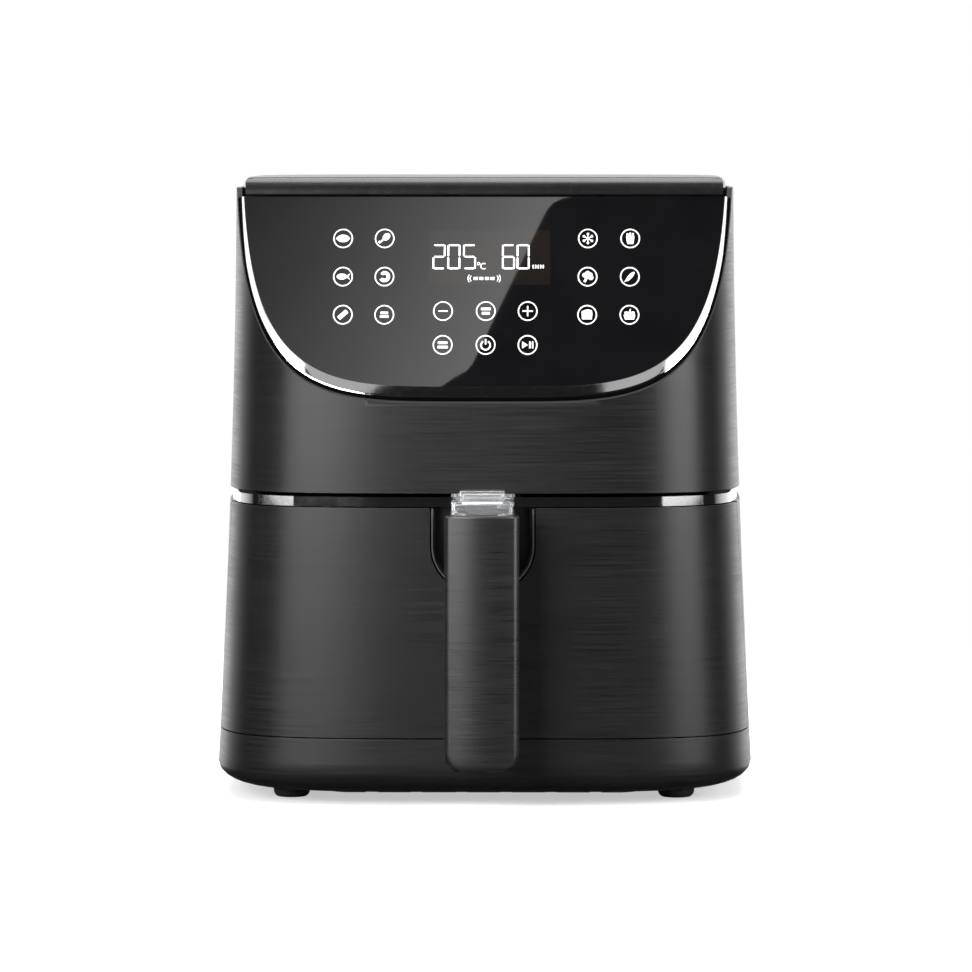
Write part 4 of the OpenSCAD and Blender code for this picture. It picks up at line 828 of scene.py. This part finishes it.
# handle
handle = {"width": 37.8, "reach": 198, "bow": 3, "lean": 0.028, "crownRadius": 66, "z": 21.4,
          "top": 150.9, "coverDepth": 10, "endRadius": 9.5, "cornerRadius": 4, "wall": 2, "tipSet": 2.2}
bowZ = handle["z"] + (handle["top"] - handle["z"]) * 0.55


def handleFace(z):
    return -handle["reach"] + handle["lean"] * (z - handle["z"])


def handleEdge(z):
    return -handle["reach"] + handle["bow"] * ((z - bowZ) / 60) ** 2


def handleHalf(z):
    t = max(0, handle["z"] + handle["endRadius"] - z)
    return handle["width"] / 2 - handle["endRadius"] + math.sqrt(max(0, handle["endRadius"] ** 2 - t * t))


def handleRing(z, inset, nearY, farY, radius, back=0):
    # a crown across the face that runs into rounded corners, then a flat back
    w, y = handleHalf(z) - inset, handleFace(z) + back
    big = handle["crownRadius"] - nearY
    phi = math.asin((w - radius) / (big - radius))
    centre = handle["crownRadius"] - math.sqrt((big - radius) ** 2 - (w - radius) ** 2)
    left = []
    for i in range(11):
        a = (math.pi / 2 - phi) * i / 10
        left.append((-(w - radius) - radius * math.cos(a), y + centre - radius * math.sin(a)))
    middle = [(big * math.sin(phi * k / 8), y + handle["crownRadius"] - big * math.cos(phi * k / 8))
              for k in range(-7, 8)]
    right = [(-x, v) for x, v in reversed(left)]
    edge = handleEdge(z) + farY
    return [(x, v, z) for x, v in left + middle + right + [(w, edge), (-w, edge)]]


tipLevels = [(handle["z"] + handle["endRadius"] * (1 - math.cos(a)),
              handle["tipSet"] * (1 - math.sin(a)) ** 2)
             for a in [math.pi / 2 * i / 9 for i in range(10)]]
coverLevels = tipLevels + [(z, 0) for z in stepsBetween(38, handle["top"] - 0.4, 9)]
grip = outlineSolid("handleCover", [handleRing(z, 0, 0, handle["coverDepth"], handle["cornerRadius"], back)
                                    for z, back in coverLevels])
hollow = outlineSolid("hollow", [handleRing(z, handle["wall"], handle["wall"], handle["coverDepth"] + 1, 2.4)
                                 for z in [23.6, 25, 28, 32] + stepsBetween(40, 152, 6)])
carve(grip, hollow)
soften(grip, 0.4, 3, even=True)
fit(grip, "drawer", "handle_black", finishes["handleBlack"], "handle_cover")
core = castFrom("handle_core", "handleCore", 0.3, 2)
fit(core, "drawer", "handle_black", finishes["handleBlack"], "handle_core")
strap = castFrom("basket_strap", "basketStrap", 0.3, 2)
fit(strap, "drawer", "bright_steel", finishes["brightSteel"], "basket_strap")
button = castFrom("release_button", "releaseButton", 0.35, 3)
fit(button, "button", "handle_black", finishes["innerPlastic"], "release_button")
spring = castFrom("button_spring", "buttonSpring", 0, smooth=60)
fit(spring, "drawer", "bright_steel", finishes["brightSteel"], "button_spring")
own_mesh(spring)
clear = castFrom("button_cover", "buttonCover", 0.6, 4)
fit(clear, "cover", "clear_plastic", finishes["clearPlastic"], "button_cover")
print("handle made")

# foot, back and inside pieces, with their edges rounded
roundedNodes = {
    "rubber_feet": ("rubberFeet", 0.5), "cord_gland": ("cordGland", 0.5),
    "rear_outlet_grille": ("outletGrille", 0.25), "front_frame": ("bayFrame", 0.3),
    "bay_floor": ("bayFloor", 0.3), "bay_liner": ("bayLiner", 0.2), "hot_air_chamber": ("airChamber", 0.2),
    "chamber_deck": ("chamberDeck", 0.2), "hot_air_fan": ("hotAirFan", 0.15),
    "heating_element": ("heatingElement", 0), "latch_catch": ("latchCatch", 0.2),
    "release_latch": ("releaseLatch", 0.25), "drawer_screws": ("drawerScrews", 0.2),
    "handle_screws": ("handleScrews", 0.2)}
for node, (name, width) in roundedNodes.items():
    piece = castFrom(node, name, width, 2, 40, 40)
    fit(piece, bodyOf[node], slotOf[node], finishes[slotFinish[slotOf[node]]], node)
# the base plate gets the near-black painted-shade finish, so that its ribs read as dark as the shade under
# the fryer
plate = castFrom("base_plate", "basePlate", 0.2, 1, 40, 40)
fit(plate, "housing", "inner_plastic", finishes["paintedShadeBlack"], "base_plate")
print("packed pieces rounded")

# floor, light and camera
studio = {"leftPower": 29, "rightPower": 20, "highPower": 6.5, "sidePower": 0.6, "topPower": 30,
          "rearPower": 18, "rimPower": 3.2, "stripPower": 0.22, "worldGlow": 0.42, "distance": 1.7,
          "middleZ": 0.16, "highZ": 1.75, "highAimZ": 0.26}
view = {"distance": 3.6, "azimuth": 0.65, "height": 0.346, "aimHeight": 0.1567, "lens": 250.2}


def litPanel(name, place, aim, width, height, power):
    light = bpy.data.lights.new(name, "AREA")
    light.shape = "RECTANGLE"
    light.size, light.size_y, light.energy = width, height, power
    lamp = bpy.data.objects.new(name, light)
    bpy.context.scene.collection.objects.link(lamp)
    lamp.location = place
    lamp.visible_camera = False
    lamp.rotation_euler = (Vector(aim) - Vector(place)).to_track_quat("-Z", "Y").to_euler()
    return lamp


def around(azimuth, distance, height):
    # azimuth from the front, positive towards the right side
    a = math.radians(azimuth)
    return (distance * math.sin(a), axisShift * mm - distance * math.cos(a), height)


middle = (0, axisShift * mm, studio["middleZ"])
highAim = (0, axisShift * mm, studio["highAimZ"])
for name, azimuth, height, width, length, power in (
        ("leftSoftbox", -34.5, 0.64, 1.45, 0.76, studio["leftPower"]),
        ("rightSoftbox", 60, 0.61, 1.1, 0.8, studio["rightPower"]),
        ("leftStrip", -77, 0.185, 1.6, 0.05, studio["stripPower"]),
        ("rightStrip", 66, 0.185, 1.6, 0.05, studio["stripPower"])):
    litPanel(name, around(azimuth, studio["distance"], height), (0, axisShift * mm, height), width, length,
             power)
litPanel("topSoftbox", (0, -0.08, 1.9), middle, 1.6, 0.9, studio["topPower"])
litPanel("rearTopSoftbox", (0, 0.74, 1.82), middle, 1.6, 0.66, studio["rearPower"])
for side in (-1, 1):
    # these show in the panel's trim: bright in its sides, dim in its lower corners
    for name, azimuth, width, power in (("highSoftbox", 47, 1.5, studio["highPower"]),
                                        ("dimSoftbox", 14, 0.45, studio["sidePower"])):
        litPanel(name, around(side * azimuth, studio["distance"], studio["highZ"]), highAim, width, 1.0,
                 power)
    litPanel("rimSoftbox", around(side * 158, studio["distance"], 0.5), middle, 0.9, 1.6, studio["rimPower"])

ground = {"radius": 1.1, "drop": 0.0002, "shade": 0.86, "glow": 0.5, "fadeFrom": 0.45, "fadeTo": 1.0}
clearSelection()
bpy.ops.mesh.primitive_circle_add(vertices=128, radius=ground["radius"], fill_type="NGON",
                                  location=(0, axisShift * mm, -ground["drop"]))
floor = bakePlace(bpy.context.object, "floor")
floorFinish, nodes, links, shader = newFinish("floorFinish", Roughness=0.9)
shader.inputs["Base Color"].default_value = (ground["shade"],) * 3 + (1,)
coords = nodes.new("ShaderNodeTexCoord")
reach = nodes.new("ShaderNodeVectorMath")
reach.operation = "LENGTH"
links.new(coords.outputs["Object"], reach.inputs[0])
fade = spread(nodes, links, reach.outputs["Value"], 0, 1, ground["fadeFrom"], ground["fadeTo"])
path = nodes.new("ShaderNodeLightPath")
glow = nodes.new("ShaderNodeEmission")
glow.inputs["Strength"].default_value = ground["glow"]
both = nodes.new("ShaderNodeAddShader")
seen = nodes.new("ShaderNodeMixShader")
links.new(path.outputs["Is Camera Ray"], seen.inputs["Fac"])
links.new(shader.outputs["BSDF"], both.inputs[0])
links.new(glow.outputs["Emission"], both.inputs[1])
links.new(shader.outputs["BSDF"], seen.inputs[1])
links.new(both.outputs["Shader"], seen.inputs[2])
clearEdge = nodes.new("ShaderNodeBsdfTransparent")
faded = nodes.new("ShaderNodeMixShader")
links.new(fade, faded.inputs["Fac"])
links.new(seen.outputs["Shader"], faded.inputs[1])
links.new(clearEdge.outputs["BSDF"], faded.inputs[2])
links.new(faded.outputs["Shader"], nodes["Material Output"].inputs["Surface"])
floor.data.materials.append(floorFinish)
floor.visible_glossy = False

# an overhead card whose reflection lies on the panel, brighter towards its slanting edge
card = {"distance": 1.0, "low": 0.35, "high": 2.9, "spread": 165, "curve": 1.5}
cameraPlace = Vector(around(view["azimuth"], view["distance"], view["height"]))
panelOut = Vector((0, -cosTilt, sinTilt))


def mirrored(x, v):
    # the ray from the camera that leaves the panel at x, v
    place = Vector((x, slopeY(v, glassZ) + axisShift, slopeZ(v, glassZ))) * mm
    ray = (place - cameraPlace).normalized()
    return place, ray - 2 * ray.dot(panelOut) * panelOut


cardPlace, cardOut = mirrored(0, 65)
cardPlace = cardPlace + cardOut * card["distance"]


def cardPoint(x, v):
    # the place whose reflection shows at x, v of the panel
    place, ray = mirrored(x, v)
    return place + ray * ((cardPlace - place).dot(cardOut) / ray.dot(cardOut))


cardEdge = [(-5.5, 22), (30.4, 110.6)]
cardOutline = [(-420, -60), (-60, -60), (-30, 1), (-22.4, 7.7), (-14, 14.5), (-8.6, 17.8), *cardEdge,
               (33, 116.2), (36, 120), (40.5, 122.5), (47, 124.2), (60, 125.5), (100, 126), (100, 150),
               (-420, 150)]
points = [cardPoint(x, v) for x, v in cardOutline]
clearSelection()
bpy.ops.mesh.primitive_circle_add(vertices=len(points), radius=1, fill_type="NGON")
cardPiece = bpy.context.object
cardPiece.name = "overheadCard"
for vertex in cardPiece.data.vertices:
    turn = (math.pi / 2 - math.atan2(vertex.co.y, vertex.co.x)) % (2 * math.pi)
    vertex.co = points[round(turn / (2 * math.pi / len(points))) % len(points)]
cardFinish = bpy.data.materials.new("cardFinish")
cardFinish.use_nodes = True
nodes, links = cardFinish.node_tree.nodes, cardFinish.node_tree.links
nodes.remove(nodes["Principled BSDF"])
glow = nodes.new("ShaderNodeEmission")
# the glow falls off with the distance from the slanting edge
edgeFoot, edgeHead = [cardPoint(x, v) for x, v in cardEdge]
away = (edgeHead - edgeFoot).cross(cardOut).normalized()
if away.x > 0:
    away = -away
coords = nodes.new("ShaderNodeTexCoord")
reach = nodes.new("ShaderNodeVectorMath")
reach.operation = "DOT_PRODUCT"
reach.inputs[1].default_value = away
links.new(coords.outputs["Object"], reach.inputs[0])
farthest = cardPoint(cardEdge[0][0] - card["spread"], cardEdge[0][1])
near = spread(nodes, links, reach.outputs["Value"], 0, 1, farthest.dot(away), edgeFoot.dot(away))
bend = nodes.new("ShaderNodeMath")
bend.operation = "POWER"
bend.inputs[1].default_value = card["curve"]
links.new(near, bend.inputs[0])
links.new(spread(nodes, links, bend.outputs["Value"], card["low"], card["high"], 0, 1),
          glow.inputs["Strength"])
links.new(glow.outputs["Emission"], nodes["Material Output"].inputs["Surface"])
cardPiece.data.materials.append(cardFinish)
cardPiece.visible_camera = False
cardPiece.visible_diffuse = False
cardPiece.visible_shadow = False

# reflections see a pale wall behind the fryer, and a dark room in front of it and under it
room = {"front": 0.014, "back": 1.3, "backFrom": 0.45, "backTo": 0.9,
        "under": 0.03, "underFrom": -0.25, "underTo": -0.04}
world = bpy.data.worlds.new("studioWorld")
bpy.context.scene.world = world
world.use_nodes = True
nodes, links = world.node_tree.nodes, world.node_tree.links
background = nodes["Background"]
output = nodes["World Output"]
path = nodes.new("ShaderNodeLightPath")
coords = nodes.new("ShaderNodeTexCoord")
axes = nodes.new("ShaderNodeSeparateXYZ")
links.new(coords.outputs["Generated"], axes.inputs["Vector"])
behind = spread(nodes, links, axes.outputs["Y"], room["front"], room["back"], room["backFrom"],
                room["backTo"])
ambient = nodes.new("ShaderNodeBackground")
ambient.inputs["Strength"].default_value = studio["worldGlow"]
mirrorGlow = nodes.new("ShaderNodeBackground")
below = spread(nodes, links, axes.outputs["Z"], room["under"], 1, room["underFrom"], room["underTo"])
dimmed = nodes.new("ShaderNodeMath")
dimmed.operation = "MULTIPLY"
links.new(behind, dimmed.inputs[0])
links.new(below, dimmed.inputs[1])
links.new(dimmed.outputs["Value"], mirrorGlow.inputs["Strength"])
background.inputs["Color"].default_value = (1, 1, 1, 1)
background.inputs["Strength"].default_value = 1.0
byGloss = nodes.new("ShaderNodeMixShader")
links.new(path.outputs["Is Glossy Ray"], byGloss.inputs["Fac"])
links.new(ambient.outputs["Background"], byGloss.inputs[1])
links.new(mirrorGlow.outputs["Background"], byGloss.inputs[2])
straight = nodes.new("ShaderNodeMath")
straight.operation = "MAXIMUM"
links.new(path.outputs["Is Camera Ray"], straight.inputs[0])
links.new(path.outputs["Is Transmission Ray"], straight.inputs[1])
final = nodes.new("ShaderNodeMixShader")
links.new(straight.outputs["Value"], final.inputs["Fac"])
links.new(byGloss.outputs["Shader"], final.inputs[1])
links.new(background.outputs["Background"], final.inputs[2])
links.new(final.outputs["Shader"], output.inputs["Surface"])

camera = bpy.data.objects.new("camera", bpy.data.cameras.new("camera"))
bpy.context.scene.collection.objects.link(camera)
camera.location = cameraPlace
aim = Vector((0, axisShift * mm, view["aimHeight"]))
camera.rotation_euler = (aim - camera.location).to_track_quat("-Z", "Y").to_euler()
camera.data.lens = view["lens"]
camera.data.sensor_width = 36
camera.data.clip_end = 100
bpy.context.scene.camera = camera
bpy.context.scene.view_settings.view_transform = "Standard"
print("floor, light and camera set")
